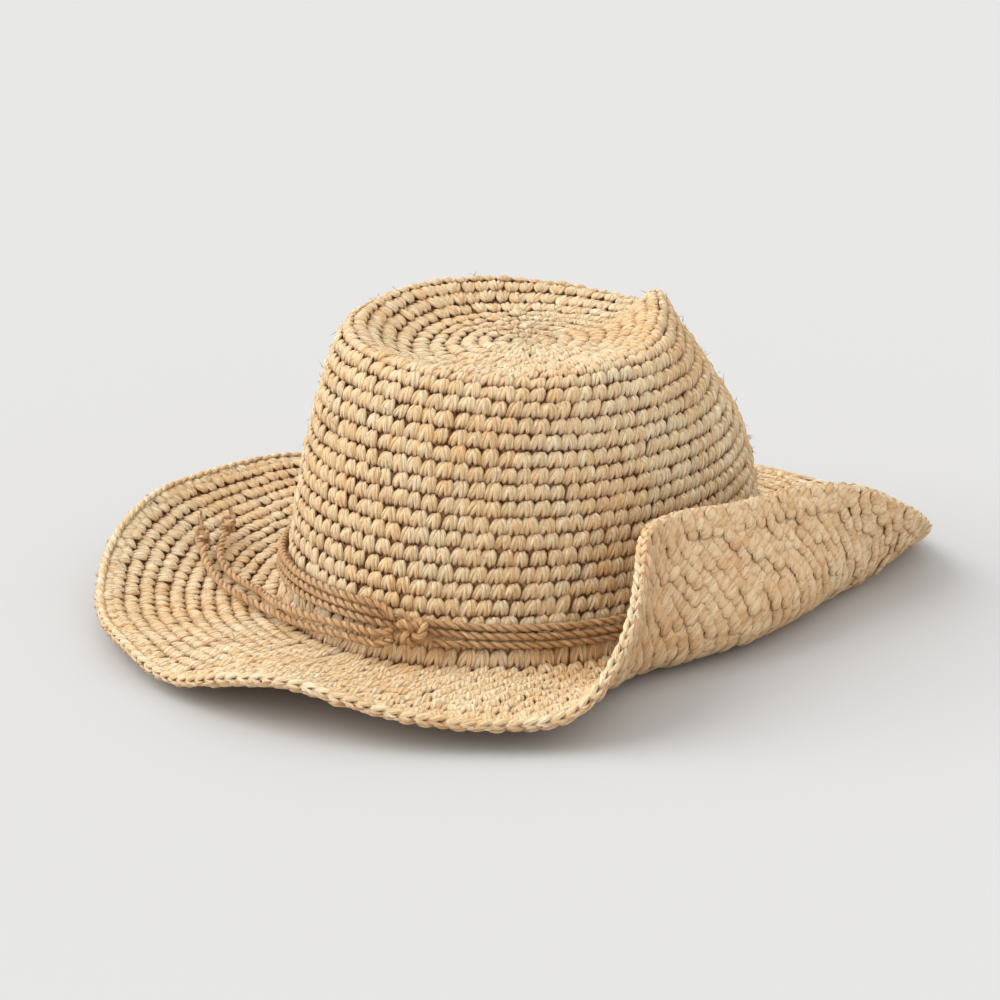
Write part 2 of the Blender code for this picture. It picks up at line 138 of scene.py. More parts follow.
# angle, three shares of the headline's radius, then the shoulder's, the ridge's and the wall foot's
# radius and height
CROWN_STATIONS = np.array([
    (0, 0.965, 0.910, 0.840, 0.760, 0.955, 0.680, 0.991, 0.500, 0.860),
    (45, 0.955, 0.900, 0.835, 0.770, 0.927, 0.690, 1.000, 0.480, 0.835),
    (90, 0.955, 0.905, 0.845, 0.775, 0.918, 0.690, 0.975, 0.490, 0.865),
    (135, 0.965, 0.910, 0.845, 0.770, 0.909, 0.670, 0.945, 0.480, 0.900),
    (180, 0.965, 0.905, 0.825, 0.740, 0.927, 0.640, 0.955, 0.450, 0.900),
    (212, 0.970, 0.920, 0.765, 0.645, 0.930, 0.575, 1.025, 0.430, 0.910),
    (235, 0.980, 0.925, 0.740, 0.615, 0.940, 0.550, 1.075, 0.430, 0.925),
    (258, 0.988, 0.943, 0.765, 0.640, 0.885, 0.570, 0.955, 0.440, 0.890),
    (280, 0.988, 0.948, 0.795, 0.660, 0.885, 0.590, 0.940, 0.460, 0.870),
    (300, 0.985, 0.942, 0.810, 0.690, 0.900, 0.610, 0.955, 0.480, 0.865),
    (325, 0.973, 0.928, 0.830, 0.735, 0.930, 0.655, 0.975, 0.500, 0.860),
])
BRIM_WIDTH = 71 * MM
BRIM_BREAK = 6 * MM
BRIM_START = -86
# angle, the slope past the break and at the edge, and where the bend begins and ends
BRIM_STATIONS = np.array([
    (6, 2, 26, 0.20, 1.00),
    (30, 2, 31, 0.20, 1.00),
    (48, -1, 17, 0.20, 1.00),
    (60, 1, 8, 0.20, 1.00),
    (71, 6, 4, 0.20, 1.00),
    (82, 9, -5, 0.30, 1.00),
    (91, 11, 8, 0.30, 1.00),
    (100, 12, 16, 0.30, 1.00),
    (112, 11, 5, 0.30, 1.00),
    (124, 10, -2, 0.40, 1.00),
    (132, 8, 6, 0.40, 1.00),
    (140, 4, 45, 0.25, 0.80),
    (149, 0, 90, 0.12, 0.60),
    (160, 0, 105, 0.10, 0.56),
    (180, 0, 112, 0.12, 0.64),
    (200, -2, 111, 0.14, 0.72),
    (213, -6, 90, 0.16, 0.78),
    (225, -12, 62, 0.22, 0.92),
    (240, -8, 18, 0.30, 1.00),
    (262, 3, -8, 0.40, 1.00),
    (285, 6, -8, 0.30, 1.00),
    (312, 4, 4, 0.25, 1.00),
    (338, 3, 9, 0.20, 1.00),
    (350, 3, 17, 0.20, 1.00),
])


def station_values(stations, angles):
    """Every column of the stations at every angle, in degrees, as an array of columns."""
    degrees = angles % 360
    rows = np.concatenate([stations[-2:], stations, stations[:3]])
    rows[:2, 0] -= 360
    rows[-3:, 0] += 360
    i = np.clip(np.searchsorted(rows[:, 0], degrees, side="right") - 1, 1, len(rows) - 3)
    before, a, b, after = rows[i - 1], rows[i], rows[i + 1], rows[i + 2]
    span = b[:, :1] - a[:, :1]
    t = (degrees[:, None] - a[:, :1]) / span
    leave = (b - before) / (b[:, :1] - before[:, :1]) * span
    arrive = (after - a) / (after[:, :1] - a[:, :1]) * span
    value = (2 * t**3 - 3 * t**2 + 1) * a + (t**3 - 2 * t**2 + t) * leave
    value += (3 * t**2 - 2 * t**3) * b + (t**3 - t**2) * arrive
    return value[:, 1:].T


# %% [markdown]
# The crown's outline in one direction is a cubic B-spline: it is as smooth as blocked raffia, and it
# never swings past its control points. The brim's outline is walked outwards in small steps, each at
# the slope that the stations give, so its width along the cloth is the same everywhere, as it is on
# a hat whose brim has the same number of rounds all the way.

# %% Crown and brim as grids of points
ANGLES = np.arange(0, 361, 1.0)
TURNS = np.radians(ANGLES)
OUTWARD = np.stack([np.cos(TURNS) * HEAD_LENGTH, np.sin(TURNS) * HEAD_WIDTH, 0 * TURNS], 1)
OUTWARD /= np.linalg.norm(OUTWARD, axis=1, keepdims=True)


def headline_radii():
    across, deep = HEAD_WIDTH / 2, HEAD_LENGTH / 2
    return across * deep / np.hypot(across * np.sin(TURNS), deep * np.cos(TURNS))


def even_run(line, count):
    """count + 1 points, evenly spaced by length, along each run of points."""
    steps = np.linalg.norm(np.diff(line, axis=1), axis=2)
    lengths = np.concatenate([np.zeros((len(line), 1)), np.cumsum(steps, 1)], 1)
    wanted = np.linspace(0, 1, count + 1)
    return np.stack([
        np.stack([np.interp(wanted * length[-1], length, run[:, k]) for k in range(2)], 1)
        for run, length in zip(line, lengths)
    ])


def crown_grid(count):
    """The crown's outer side, from its foot (0) to the middle of the tip (count), for every angle."""
    low, middle, high, *rest = station_values(CROWN_STATIONS, ANGLES)
    shoulder, shoulder_z, ridge, ridge_z, foot, foot_z = rest
    one = np.ones_like(low)
    shares = [one, low, middle, high, shoulder, ridge, foot, CREASE_RING[0] * one, 0 * one]
    heights = [0 * one, *(one * q for q in QUARTERS), shoulder_z, ridge_z, foot_z]
    heights += [CREASE_RING[1] * one, CREASE_FLOOR * one]
    radii = np.stack(shares, 1) * headline_radii()[:, None]
    controls = np.stack([radii, np.stack(heights, 1) * CROWN_HEIGHT], 2)
    first = 2 * controls[:, :1] - controls[:, 1:2]
    last = 2 * controls[:, -1:] - controls[:, -2:-1]
    controls = np.concatenate([first, controls, last], 1)
    t = np.linspace(0, 1, 16, endpoint=False)
    weights = np.stack([(1 - t) ** 3, 3 * t**3 - 6 * t**2 + 4, -3 * t**3 + 3 * t**2 + 3 * t + 1, t**3], 1) / 6
    spans = [np.einsum("sk,akc->asc", weights, controls[:, i:i + 4]) for i in range(controls.shape[1] - 3)]
    line = np.concatenate([*spans, controls[:, -2:-1]], 1)
    line[:, :, 1] = np.maximum(line[:, :, 1], CROWN_FOOT)
    line = even_run(line, count)
    turns = TURNS[:, None]
    return np.stack([line[..., 0] * np.cos(turns), line[..., 0] * np.sin(turns), line[..., 1]], 2)


def brim_grid(count, crown_foot):
    """The brim's upper side, from the crown (0) to its rim (count), for every angle."""
    start, end, bend_from, bend_to = (row[:, None] for row in station_values(BRIM_STATIONS, ANGLES))
    share = (np.arange(count) + 0.5)[None] / count
    t = np.clip((share - bend_from) / (bend_to - bend_from), 0, 1)
    slope = start + (end - start) * t * t * (3 - 2 * t)
    turned = np.clip(share * BRIM_WIDTH / (BRIM_BREAK * math.pi / 2), 0, 1)
    slope = np.radians(BRIM_START * (1 - turned) + slope * turned)
    step = BRIM_WIDTH / count
    nought = np.zeros((len(ANGLES), 1))
    out = np.concatenate([nought, np.cumsum(np.cos(slope) * step, 1)], 1)
    rise = np.concatenate([nought, np.cumsum(np.sin(slope) * step, 1)], 1) + CROWN_FOOT
    points = crown_foot[:, None] + out[..., None] * OUTWARD[:, None]
    points[..., 2] = rise
    return points


CROWN_ROUNDS, BRIM_ROUNDS = 28, 12
PER_ROUND = 8  # grid points in one round of crochet
crown_points = crown_grid(CROWN_ROUNDS * PER_ROUND)
brim_points = brim_grid(BRIM_ROUNDS * PER_ROUND, crown_points[:, 0])
brim_points = brim_points[:, ::-1]  # from the rim up to the crown, as the crown runs from foot to tip
print("Crown height:", round(float(crown_points[..., 2].max()), 4))
print("Brim reach:", np.round(brim_points[..., :2].max((0, 1)), 4))
print("Lowest:", round(float(brim_points[..., 2].min()), 4))

# %% [markdown]
# ## Laying things on a surface
#
# A small shape, a stitch for instance, is modelled flat, with x along the round, y across the rounds
# and z off the cloth. `Cloth` puts it on the hat: it finds each point's place on the smooth surface
# and lifts it along the surface's own normal, so that shapes bend with the cloth. The rounds are
# measured by length, so the stitches stay the same width where the brim swings round a corner.

# %% A surface that takes laid shapes
rng = np.random.default_rng(7)


class Cloth:
    def __init__(self, points, rounds):
        self.points = points + np.array(HEAD)
        self.points = self.points + self.unevenness()
        self.rounds = rounds
        around = np.gradient(self.points, axis=0)
        around[0] = around[-1] = (self.points[1] - self.points[-2]) / 2
        up = np.gradient(self.points, axis=1)
        normals = np.cross(around, up)
        size = np.linalg.norm(normals, axis=2, keepdims=True)
        flat = size[..., 0] < 1e-12
        normals /= np.maximum(size, 1e-12)
        normals[flat] = (0, 0, 1)
        self.normals = normals
        steps = np.linalg.norm(np.diff(self.points, axis=0), axis=2)
        self.lengths = np.concatenate([np.zeros((1, steps.shape[1])), np.cumsum(steps, 0)])

    def unevenness(self):
        """Hand-worked raffia is never quite true: a slow swell of half a millimetre or so."""
        p = self.points
        wave = np.sin(p[..., 0] * 95 + 1.3) * np.sin(p[..., 1] * 80 + 0.4) * np.sin(p[..., 2] * 110 + 2.1)
        wave += 0.7 * np.sin(p[..., 0] * 41 + p[..., 2] * 60) * np.sin(p[..., 1] * 47 + p[..., 2] * 33)
        radial = p - np.array([HEAD.x, HEAD.y, 0])
        radial[..., 2] = 0
        radial /= np.maximum(np.linalg.norm(radial, axis=-1, keepdims=True), 1e-9)
        direction = 0.5 * radial + np.array([0, 0, 0.6])
        return 0.5 * MM * wave[..., None] * direction

    def length_at(self, level):
        """How long a round is, at a level counted in rounds."""
        return np.interp(level * PER_ROUND, np.arange(self.points.shape[1]), self.lengths[-1])

    def angle_at(self, share, level):
        """The angle that lies a share of the way round, by length, at a level."""
        column = int(round(np.clip(level, 0, self.rounds) * PER_ROUND))
        length = self.lengths[:, column]
        return np.interp((share % 1) * length[-1], length, ANGLES)

    def sample(self, grid, angle, level):
        angle = angle % 360
        column = np.clip(level, 0, self.rounds) * PER_ROUND
        a = np.minimum(angle.astype(int), 359)
        c = np.minimum(column.astype(int), grid.shape[1] - 2)
        fa, fc = (angle - a)[..., None], (column - c)[..., None]
        low = grid[a, c] * (1 - fa) + grid[a + 1, c] * fa
        high = grid[a, c + 1] * (1 - fa) + grid[a + 1, c + 1] * fa
        return low * (1 - fc) + high * fc

    def place(self, angle, level, lift):
        """Points at the given angles and levels, lifted off the surface along its normals."""
        normal = self.sample(self.normals, angle, level)
        normal /= np.maximum(np.linalg.norm(normal, axis=-1, keepdims=True), 1e-9)
        point = self.sample(self.points, angle, level)
        # Past the surface's ends a shape keeps going straight.
        over = level - np.clip(level, 0, self.rounds)
        inner = self.sample(self.points, angle, np.clip(level, 0.25, self.rounds - 0.25))
        end = np.where(over > 0, self.rounds - 0.25, 0.25)
        rim = np.where(over > 0, self.rounds, 0.0)
        ahead = (self.sample(self.points, angle, rim) - inner) / np.maximum(np.abs(rim - end), 1e-9)[..., None]
        point = point + np.abs(over)[..., None] * ahead
        return point + lift[..., None] * normal


crown_cloth = Cloth(crown_points, CROWN_ROUNDS)
brim_cloth = Cloth(brim_points, BRIM_ROUNDS)
print("Round at the crown's foot:", round(float(crown_cloth.length_at(0)) * 1000), "mm, at the rim:",
      round(float(brim_cloth.length_at(0)) * 1000), "mm")

# %% [markdown]
# ## One strand of raffia
#
# Every stitch leg, cord ply and stray fibre is a soft strand: a tube that tapers at both ends. A grid
# is rolled up into a tube, which keeps its rows and columns for a texture map that follows the
# strand, v along it and u round it. Fine fibre lines are drawn from that map later.

# %% A rolled-up grid
class Strand:
    """A closed tube: its points as (turn, along), its faces, and each face corner's map."""

    def __init__(self, sides, rings):
        bm = bmesh.new()
        bmesh.ops.create_grid(bm, x_segments=sides, y_segments=rings, size=0.5)
        place = {vertex: (vertex.co.x + 0.5, vertex.co.y + 0.5) for vertex in bm.verts}
        for vertex, (turn, along) in place.items():
            vertex.co = (math.cos(turn * math.tau), math.sin(turn * math.tau), along * rings)
        double = bmesh.ops.find_doubles(bm, verts=bm.verts, dist=0.0001)["targetmap"]
        kept = [vertex for vertex in bm.verts if vertex not in double]
        index = {vertex: i for i, vertex in enumerate(kept)}
        wall = [[index[double.get(loop.vert, loop.vert)] for loop in face.loops] for face in bm.faces]
        wall_map = [[place[loop.vert] for loop in face.loops] for face in bm.faces]
        self.points = np.array([place[vertex] for vertex in kept])
        first = sorted((place[v][0], index[v]) for v in kept if place[v][1] < 0.01 / rings)
        last = sorted((place[v][0], index[v]) for v in kept if place[v][1] > 1 - 0.01 / rings)
        bm.free()
        caps = [[i for _, i in reversed(first)], [i for _, i in last]]
        caps_map = [[tuple(self.points[i]) for i in cap] for cap in caps]
        self.faces = [np.array(wall), np.array(caps)]
        self.maps = [np.array(wall_map), np.array(caps_map)]
        self.ring = np.round(self.points[:, 1] * rings).astype(int)


LEG = Strand(6, 5)
print("A stitch leg has", len(LEG.points), "points and", sum(map(len, LEG.faces)), "faces")

# %% [markdown]
# `swept` bends the rolled grid along a centre line. At each point the strand has a side direction and
# a top direction, and a width and a thickness, so one strand can be flat and wide in its middle and
# pinched at its ends, as raffia is where a stitch pulls it tight.

# %% Bend a strand along a line
STITCH_WIDTH, ROUND_HEIGHT = 6.15, 5.8  # in millimetres
CELL = np.array([STITCH_WIDTH, ROUND_HEIGHT, 1])


def swept(strand, centres, side, top, width, thickness):
    """A strand's points: a centre, side and top for each ring, half its width and its thickness."""
    turn = strand.points[:, 0] * math.tau
    ring = strand.ring
    wide = (np.cos(turn) * width[ring])[:, None] * side[ring]
    thick = (np.sin(turn) * thickness[ring])[:, None] * top[ring]
    return centres[ring] + wide + thick


def leg(strand, points, width, thickness, fullness):
    """A strand through four given points: (x along, y up, in cells; z in millimetres)."""
    t = np.linspace(0, 1, strand.ring.max() + 1)
    a, b, c, d = (np.array(p, float) for p in points)
    shares = [(1 - t) ** 3, 3 * (1 - t) ** 2 * t, 3 * (1 - t) * t**2, t**3]
    centres = sum(share[:, None] * p for share, p in zip(shares, (a, b, c, d)))
    run = np.gradient(centres * CELL, axis=0)
    run /= np.linalg.norm(run, axis=1, keepdims=True)
    side = np.cross(run, [0, 0, 1.0])
    side /= np.linalg.norm(side, axis=1, keepdims=True)
    top = np.cross(side, run)
    plump = np.sin(np.pi * (0.08 + 0.84 * t)) ** fullness
    plump[0] = plump[-1] = 0.3
    return swept(strand, centres, side / CELL, top / CELL, width * plump, thickness * plump)


# %% [markdown]
# ## The stitch
#
# Seen from outside, a stitch is a rounded arch: two plump legs that meet and cross at the top and
# spread towards the bottom, where a small dark hole is left between it and its neighbour. Its top
# tucks in under the feet of the stitch above. On the wrong side of the cloth, the same stitch shows
# as a flat slanting pad, and the pads overlap like scales.

# %% Right side and wrong side of a stitch
LEG_WIDTH, LEG_THICKNESS = 1.22, 0.88  # half of each, in millimetres


def arch(spread, bulge, slant):
    """The four strips of a stitch, two in each leg; the right leg lies over the left one, and all of
    it slants, as stitches do that are always worked the same way round."""
    paths = [
        [(-spread, -0.60, -1.0), (-spread - 0.03, -0.10, bulge + 0.1),
         (-0.28, 0.44, bulge + 0.1), (-0.04, 0.50, -0.6)],
        [(-spread + 0.19, -0.66, -1.0), (-0.18, -0.16, bulge + 0.6),
         (-0.02, 0.42, bulge + 0.5), (0.08, 0.48, -0.5)],
        [(spread - 0.19, -0.66, -1.0), (0.22, -0.10, bulge + 0.9),
         (0.08, 0.48, bulge + 1.0), (-0.14, 0.47, -0.3)],
        [(spread, -0.60, -1.0), (spread + 0.05, -0.04, bulge + 0.4),
         (0.32, 0.52, bulge + 0.7), (0.02, 0.52, -0.3)],
    ]
    strips = [leg(LEG, path, LEG_WIDTH, LEG_THICKNESS, 0.5) for path in paths]
    for strip in strips:
        strip[:, 0] += slant * strip[:, 1]
    return strips


SCALE = Strand(6, 4)
PAD_WIDTH, PAD_THICKNESS = 3.25, 1.1  # half of each, in millimetres
PAD_TIP = 0.8


def pads():
    """The wrong side's two pads, tipped so that the lower edge of each lies over the next one."""
    paths = [
        [(-0.74, 0.12, -1.6), (-0.42, -0.16, -2.3), (0.02, -0.42, -2.3), (0.36, -0.62, -1.6)],
        [(-0.48, 0.66, -1.6), (-0.18, 0.36, -2.3), (0.30, 0.06, -2.3), (0.74, -0.14, -1.6)],
    ]
    shapes = [leg(SCALE, path, PAD_WIDTH, PAD_THICKNESS, 0.5) for path in paths]
    for shape in shapes:
        shape[:, 2] += PAD_TIP * (shape[:, 0] - 0.8 * shape[:, 1])
    return shapes


ARCHES = [arch(0.42, 0.7, 0.16), arch(0.40, 0.5, 0.26), arch(0.43, 0.9, 0.08), arch(0.41, 0.6, 0.20)]
PADS = pads()
print("Arch styles:", len(ARCHES))

# %% [markdown]
# ## A worked round
#
# A round is a ring of stitches. Each stitch differs a little from the next in width, height and
# plumpness, and leans a little, because a hand made it. The colour number of each strand is kept as
# an attribute, together with how deep each point lies in the cloth: the material uses the first for
# streaks of paler and browner raffia, and the second to paint shade into the grooves.

# %% Lay the rounds
STITCH = STITCH_WIDTH * MM
CLOTH_MIDDLE = -1.9 * MM  # how far the cloth's middle lies from its outer side
HALF_ROUND = -0.52  # the level of the half round that the braided edge is worked over
ROUND_SHIFT = 0.37  # how far each round starts after the one below, in stitches
STRAND_MAP = 9 * MM  # the length of a fine strand that one turn of its map covers


class Worked:
    """Gathers laid strands and turns them into one mesh."""

    def __init__(self):
        self.points, self.corners, self.sizes = [], [], []
        self.maps, self.tints, self.shade_depths = [], [], []
        self.count = 0

    def add(self, positions, strand, tint, shade_depth, stretch=1.0):
        """Adds strands: their points as strands x points x 3, a tint for each and a painted shade depth for
        each point.
        """
        strands, points = positions.shape[:2]
        offsets = self.count + points * np.arange(strands)
        shift = rng.random((strands, 1, 1, 2)) * 7
        for faces, places in zip(strand.faces, strand.maps):
            laid = faces[None] + offsets[:, None, None]
            self.corners.append(laid.ravel())
            self.sizes.append(np.full(strands * len(faces), faces.shape[1]))
            self.maps.append((places[None] * np.array([1, stretch]) + shift).reshape(-1, 2))
        self.points.append(positions.reshape(-1, 3))
        self.tints.append(np.repeat(tint, points))
        self.shade_depths.append(np.asarray(shade_depth).reshape(-1))
        self.count += strands * points

    def finish(self, name, material, body="hat", slot="raffia", stands_for=()):
        points, corners = np.concatenate(self.points), np.concatenate(self.corners)
        sizes = np.concatenate(self.sizes)
        mesh = bpy.data.meshes.new(name)
        mesh.vertices.add(len(points))
        mesh.vertices.foreach_set("co", points.ravel())
        mesh.loops.add(len(corners))
        mesh.loops.foreach_set("vertex_index", corners)
        mesh.polygons.add(len(sizes))
        mesh.polygons.foreach_set("loop_start", np.cumsum(sizes) - sizes)
        mesh.update(calc_edges=True)
        mesh.polygons.foreach_set("use_smooth", np.full(len(sizes), True))
        mesh.uv_layers.new(name="strand").data.foreach_set("uv", np.concatenate(self.maps).ravel())
        # The second attribute says how much painted shade each point gets in the raffia material.
        for key, values in (("tint", self.tints), ("shade_depth", self.shade_depths)):
            attribute = mesh.attributes.new(key, "FLOAT", "POINT")
            attribute.data.foreach_set("value", np.concatenate(values).astype(np.float32))
        mesh.materials.append(material)
        piece = bpy.data.objects.new(name, mesh)
        bpy.context.scene.collection.objects.link(piece)
        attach(piece, body)
        if stands_for:
            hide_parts(*stands_for)
        print(f"{name}: {(sizes - 2).sum()} triangles")
        return piece


def round_cells(cloth, level, phase):
    """How many stitches fit in a round, and each one's small differences from the next."""
    count = max(int(round(cloth.length_at(level + 0.5) / STITCH)), 6)
    starts = (np.arange(count) + phase + rng.normal(0, 0.05, count)) / count
    wobble = rng.normal(0, 1, (count, 6))
    return count, starts, wobble


def lay(cloth, level, count, starts, wobble, shape, lift):
    """Lays one flat shape in every stitch of a round."""
    x, y, z = shape[:, 0], shape[:, 1], shape[:, 2] * MM
    lean = 0.07 * wobble[:, :1]
    across = x[None] * (1 + 0.07 * wobble[:, 1:2]) + lean * y[None]
    up = y[None] * (1 + 0.05 * wobble[:, 2:3]) + 0.03 * wobble[:, 3:4]
    share = starts[:, None] + across / count
    levels = level + 0.5 + up
    angle = cloth.angle_at(share, level + 0.5)
    rise = z[None] * (1 + 0.12 * wobble[:, 4:5]) + 0.12 * MM * wobble[:, 5:6] + lift
    return cloth.place(angle, levels, rise)


def work_rounds(right, wrong, cloth, levels):
    for level in levels:
        level = max(level, HALF_ROUND)
        count, starts, wobble = round_cells(cloth, level, ROUND_SHIFT * level)
        style = rng.integers(0, len(ARCHES), count)
        for k, strips in enumerate(ARCHES):
            chosen = style == k
            if not chosen.any():
                continue
            for shape in strips:
                own = wobble[chosen] + 0.5 * rng.normal(0, 1, (chosen.sum(), 6))
                laid = lay(cloth, level, count, starts[chosen], own, shape, CLOTH_MIDDLE)
                # Painted shade: the deeper a point of a stitch lies in the cloth, the darker it is drawn.
                shade_depth = np.tile(shape[:, 2] / 2.4, chosen.sum())
                right.add(laid, LEG, rng.random(chosen.sum()), shade_depth)
        for shape in PADS:
            laid = lay(cloth, level, count, starts, wobble, shape, CLOTH_MIDDLE)
            # Painted shade on the wrong side: the further a point lies in from the pads' face, the darker it is
            # drawn.
            wrong.add(laid, SCALE, rng.random(count), np.tile(-(shape[:, 2] + 0.9) / 3.0, count))


# %% [markdown]
# ## Raffia, the material
#
# Raffia is a dry palm fibre, torn into strips. It has fine lines along each strip, and it goes from
# pale straw to warm tan from one strip to the next and in slow patches over the hat. It has a soft
# satin sheen on the plump parts. Shade is painted into the grooves and fine creases as a darker,
# browner colour. One node group does this for the stitches, the cords and the stray fibres, each
# with its own colours.

# %% Raffia node group
def new_group(name, inputs, outputs):
    group = bpy.data.node_groups.new(name, "ShaderNodeTree")
    for label, kind, value in inputs:
        socket = group.interface.new_socket(label, in_out="INPUT", socket_type=kind)
        socket.default_value = value
    for label, kind in outputs:
        group.interface.new_socket(label, in_out="OUTPUT", socket_type=kind)
    return group, group.nodes.new("NodeGroupInput"), group.nodes.new("NodeGroupOutput")


def node(tree, kind, label, links=None, **settings):
    """Adds a node, with its settings, and joins or sets its inputs."""
    made = tree.nodes.new(kind)
    made.label = label
    for key, value in settings.items():
        setattr(made, key, value)
    for socket, value in (links or {}).items():
        if isinstance(value, bpy.types.NodeSocket):
            tree.links.new(value, made.inputs[socket])
        else:
            made.inputs[socket].default_value = value
    return made


def raffia_group():
    group, given, result = new_group("Raffia fibre", [
        ("Pale", "NodeSocketColor", (0.86, 0.66, 0.41, 1)),
        ("Tan", "NodeSocketColor", (0.60, 0.37, 0.17, 1)),
        # The groove colour is painted shade: it is mixed into the grooves and creases.
        ("Groove", "NodeSocketColor", (0.22, 0.10, 0.035, 1)),
        ("Fibre lines", "NodeSocketFloat", 1.0),
    ], [("Color", "NodeSocketColor"), ("Roughness", "NodeSocketFloat"), ("Height", "NodeSocketFloat")])
    strand_map = node(group, "ShaderNodeUVMap", "Map along the strand", uv_map="strand")
    tint = node(group, "ShaderNodeAttribute", "One number per strand", attribute_name="tint")
    shade_depth = node(group, "ShaderNodeAttribute", "Height in the cloth", attribute_name="shade_depth")
    place = node(group, "ShaderNodeTexCoord", "Place on the hat")
    stretched = node(group, "ShaderNodeMapping", "Thin lines round the strand, long ones along it",
                     {"Vector": strand_map.outputs["UV"], "Scale": (9, 0.9, 1)})
    fibres = node(group, "ShaderNodeTexNoise", "Fibre lines",
                  {"Vector": stretched.outputs["Vector"], "Scale": 1.5, "Detail": 2.5, "Roughness": 0.65,
                   "Distortion": 0.4})
    patches = node(group, "ShaderNodeTexNoise", "Slow patches over the hat",
                   {"Vector": place.outputs["Object"], "Scale": 26.0, "Detail": 2.0})
    speckle = node(group, "ShaderNodeTexNoise", "Uneven drying",
                   {"Vector": place.outputs["Object"], "Scale": 260.0, "Detail": 2.0})
    lines = node(group, "ShaderNodeMapRange", "Lines, sharper",
                 {"Value": fibres.outputs["Fac"], "From Min": 0.40, "From Max": 0.60})
    half_tint = node(group, "ShaderNodeMath", "Strand's share",
                     {0: tint.outputs["Fac"], 1: 0.52}, operation="MULTIPLY")
    patch_share = node(group, "ShaderNodeMapRange", "Patches' share",
                       {"Value": patches.outputs["Fac"], "From Min": 0.38, "From Max": 0.68,
                        "To Max": 0.42})
    browner = node(group, "ShaderNodeMath", "Strand and patch",
                   {0: half_tint.outputs[0], 1: patch_share.outputs[0]}, operation="ADD")
    speckled = node(group, "ShaderNodeMath", "And uneven drying",
                    {0: speckle.outputs["Fac"], 1: 0.34, 2: browner.outputs[0]},
                    operation="MULTIPLY_ADD")
    line_share = node(group, "ShaderNodeMath", "And fibre lines",
                      {0: lines.outputs[0], 1: -0.34, 2: speckled.outputs[0]},
                      operation="MULTIPLY_ADD", use_clamp=True)
    base = node(group, "ShaderNodeMix", "Pale to tan", data_type="RGBA")
    set_mix_colours(group, base, line_share.outputs[0], given.outputs["Pale"], given.outputs["Tan"])
    # Painted shade: points that lie deep in the cloth are mixed towards the groove colour.
    sunk = node(group, "ShaderNodeMapRange", "Painted shade in the grooves",
                {"Value": shade_depth.outputs["Fac"], "From Min": -0.2, "From Max": 0.46,
                 "To Min": 0.97, "To Max": 0.0})
    # Painted shade in the fine creases between the fibre strips, taken from the fibre lines.
    crease_shade = node(group, "ShaderNodeMapRange", "Painted shade in the creases",
                  {"Value": fibres.outputs["Fac"], "From Min": 0.30, "From Max": 0.44,
                   "To Min": 0.62, "To Max": 0.0})
    shade_share = node(group, "ShaderNodeMath", "Painted shade, groove or crease",
                  {0: sunk.outputs[0], 1: crease_shade.outputs[0]}, operation="MAXIMUM")
    # The painted shade is a darker, browner colour in the grooves and creases.
    shaded = node(group, "ShaderNodeMix", "Painted shade, browner in the grooves", data_type="RGBA")
    set_mix_colours(group, shaded, shade_share.outputs[0], base.outputs[2], given.outputs["Groove"])
    rough = node(group, "ShaderNodeMapRange", "Satin on the strips, dry between them",
                 {"Value": lines.outputs[0], "To Min": 0.72, "To Max": 0.5})
    height = node(group, "ShaderNodeMath", "Line height",
                  {0: lines.outputs[0], 1: given.outputs["Fibre lines"]}, operation="MULTIPLY")
    group.links.new(shaded.outputs[2], result.inputs["Color"])
    group.links.new(rough.outputs[0], result.inputs["Roughness"])
    group.links.new(height.outputs[0], result.inputs["Height"])
    return group


def set_mix_colours(tree, mix, factor, a, b):
    """Joins a colour Mix node, whose colour sockets come after its number and vector ones."""
    tree.links.new(factor, mix.inputs[0])
    tree.links.new(a, mix.inputs[6])
    tree.links.new(b, mix.inputs[7])


RAFFIA_GROUP = raffia_group()


def raffia_material(name, pale, tan, groove_shade, bump):
    material = bpy.data.materials.new(name)
    material.use_nodes = True
    tree = material.node_tree
    principled = tree.nodes["Principled BSDF"]
    fibre = node(tree, "ShaderNodeGroup", "Raffia fibre", node_tree=RAFFIA_GROUP)
    for label, colour in (("Pale", pale), ("Tan", tan), ("Groove", groove_shade)):
        fibre.inputs[label].default_value = (*colour, 1)
    relief = node(tree, "ShaderNodeBump", "Fibre relief", {"Height": fibre.outputs["Height"]})
    relief.inputs["Strength"].default_value = bump
    relief.inputs["Distance"].default_value = 0.45 * MM
    tree.links.new(fibre.outputs["Color"], principled.inputs["Base Color"])
    tree.links.new(fibre.outputs["Roughness"], principled.inputs["Roughness"])
    tree.links.new(relief.outputs["Normal"], principled.inputs["Normal"])
    principled.inputs["Specular IOR Level"].default_value = 0.35
    return material


# pale, tan and painted groove shade colours, then the strength of the fibre relief
RAFFIA = raffia_material(
    "natural_raffia", (1.0, 0.85, 0.58), (0.93, 0.58, 0.26), (0.36, 0.12, 0.03), 0.9)
# The wrong side is a darker copy of the same raffia: painted shade on the brim's underside and inside the
# crown.
SHADED_WRONG_SIDE = raffia_material(
    "raffia_wrong_side_shaded", (0.86, 0.64, 0.39), (0.68, 0.39, 0.17), (0.42, 0.16, 0.06), 0.9)
CORD = raffia_material(
    "twisted_raffia_cord", (0.92, 0.65, 0.38), (0.68, 0.38, 0.16), (0.32, 0.12, 0.04), 1.0)
print("Materials:", [m.name for m in (RAFFIA, SHADED_WRONG_SIDE, CORD)])

# %% [markdown]
# ## The hat's cloth
#
# The crown is worked in 28 rounds and the brim in 12. A piece keeps to a couple of hundred thousand
# triangles, so the crown's side and the brim are each laid in three bands of rounds. Every band has
# a piece for its right side and one for its wrong side. The brim starts with the half round at the
# rim.

# %% Crown and brim
TIP_START = CROWN_ROUNDS - 8
NODES = {"crown_side": crown_cloth, "crown_tip": crown_cloth, "brim": brim_cloth}


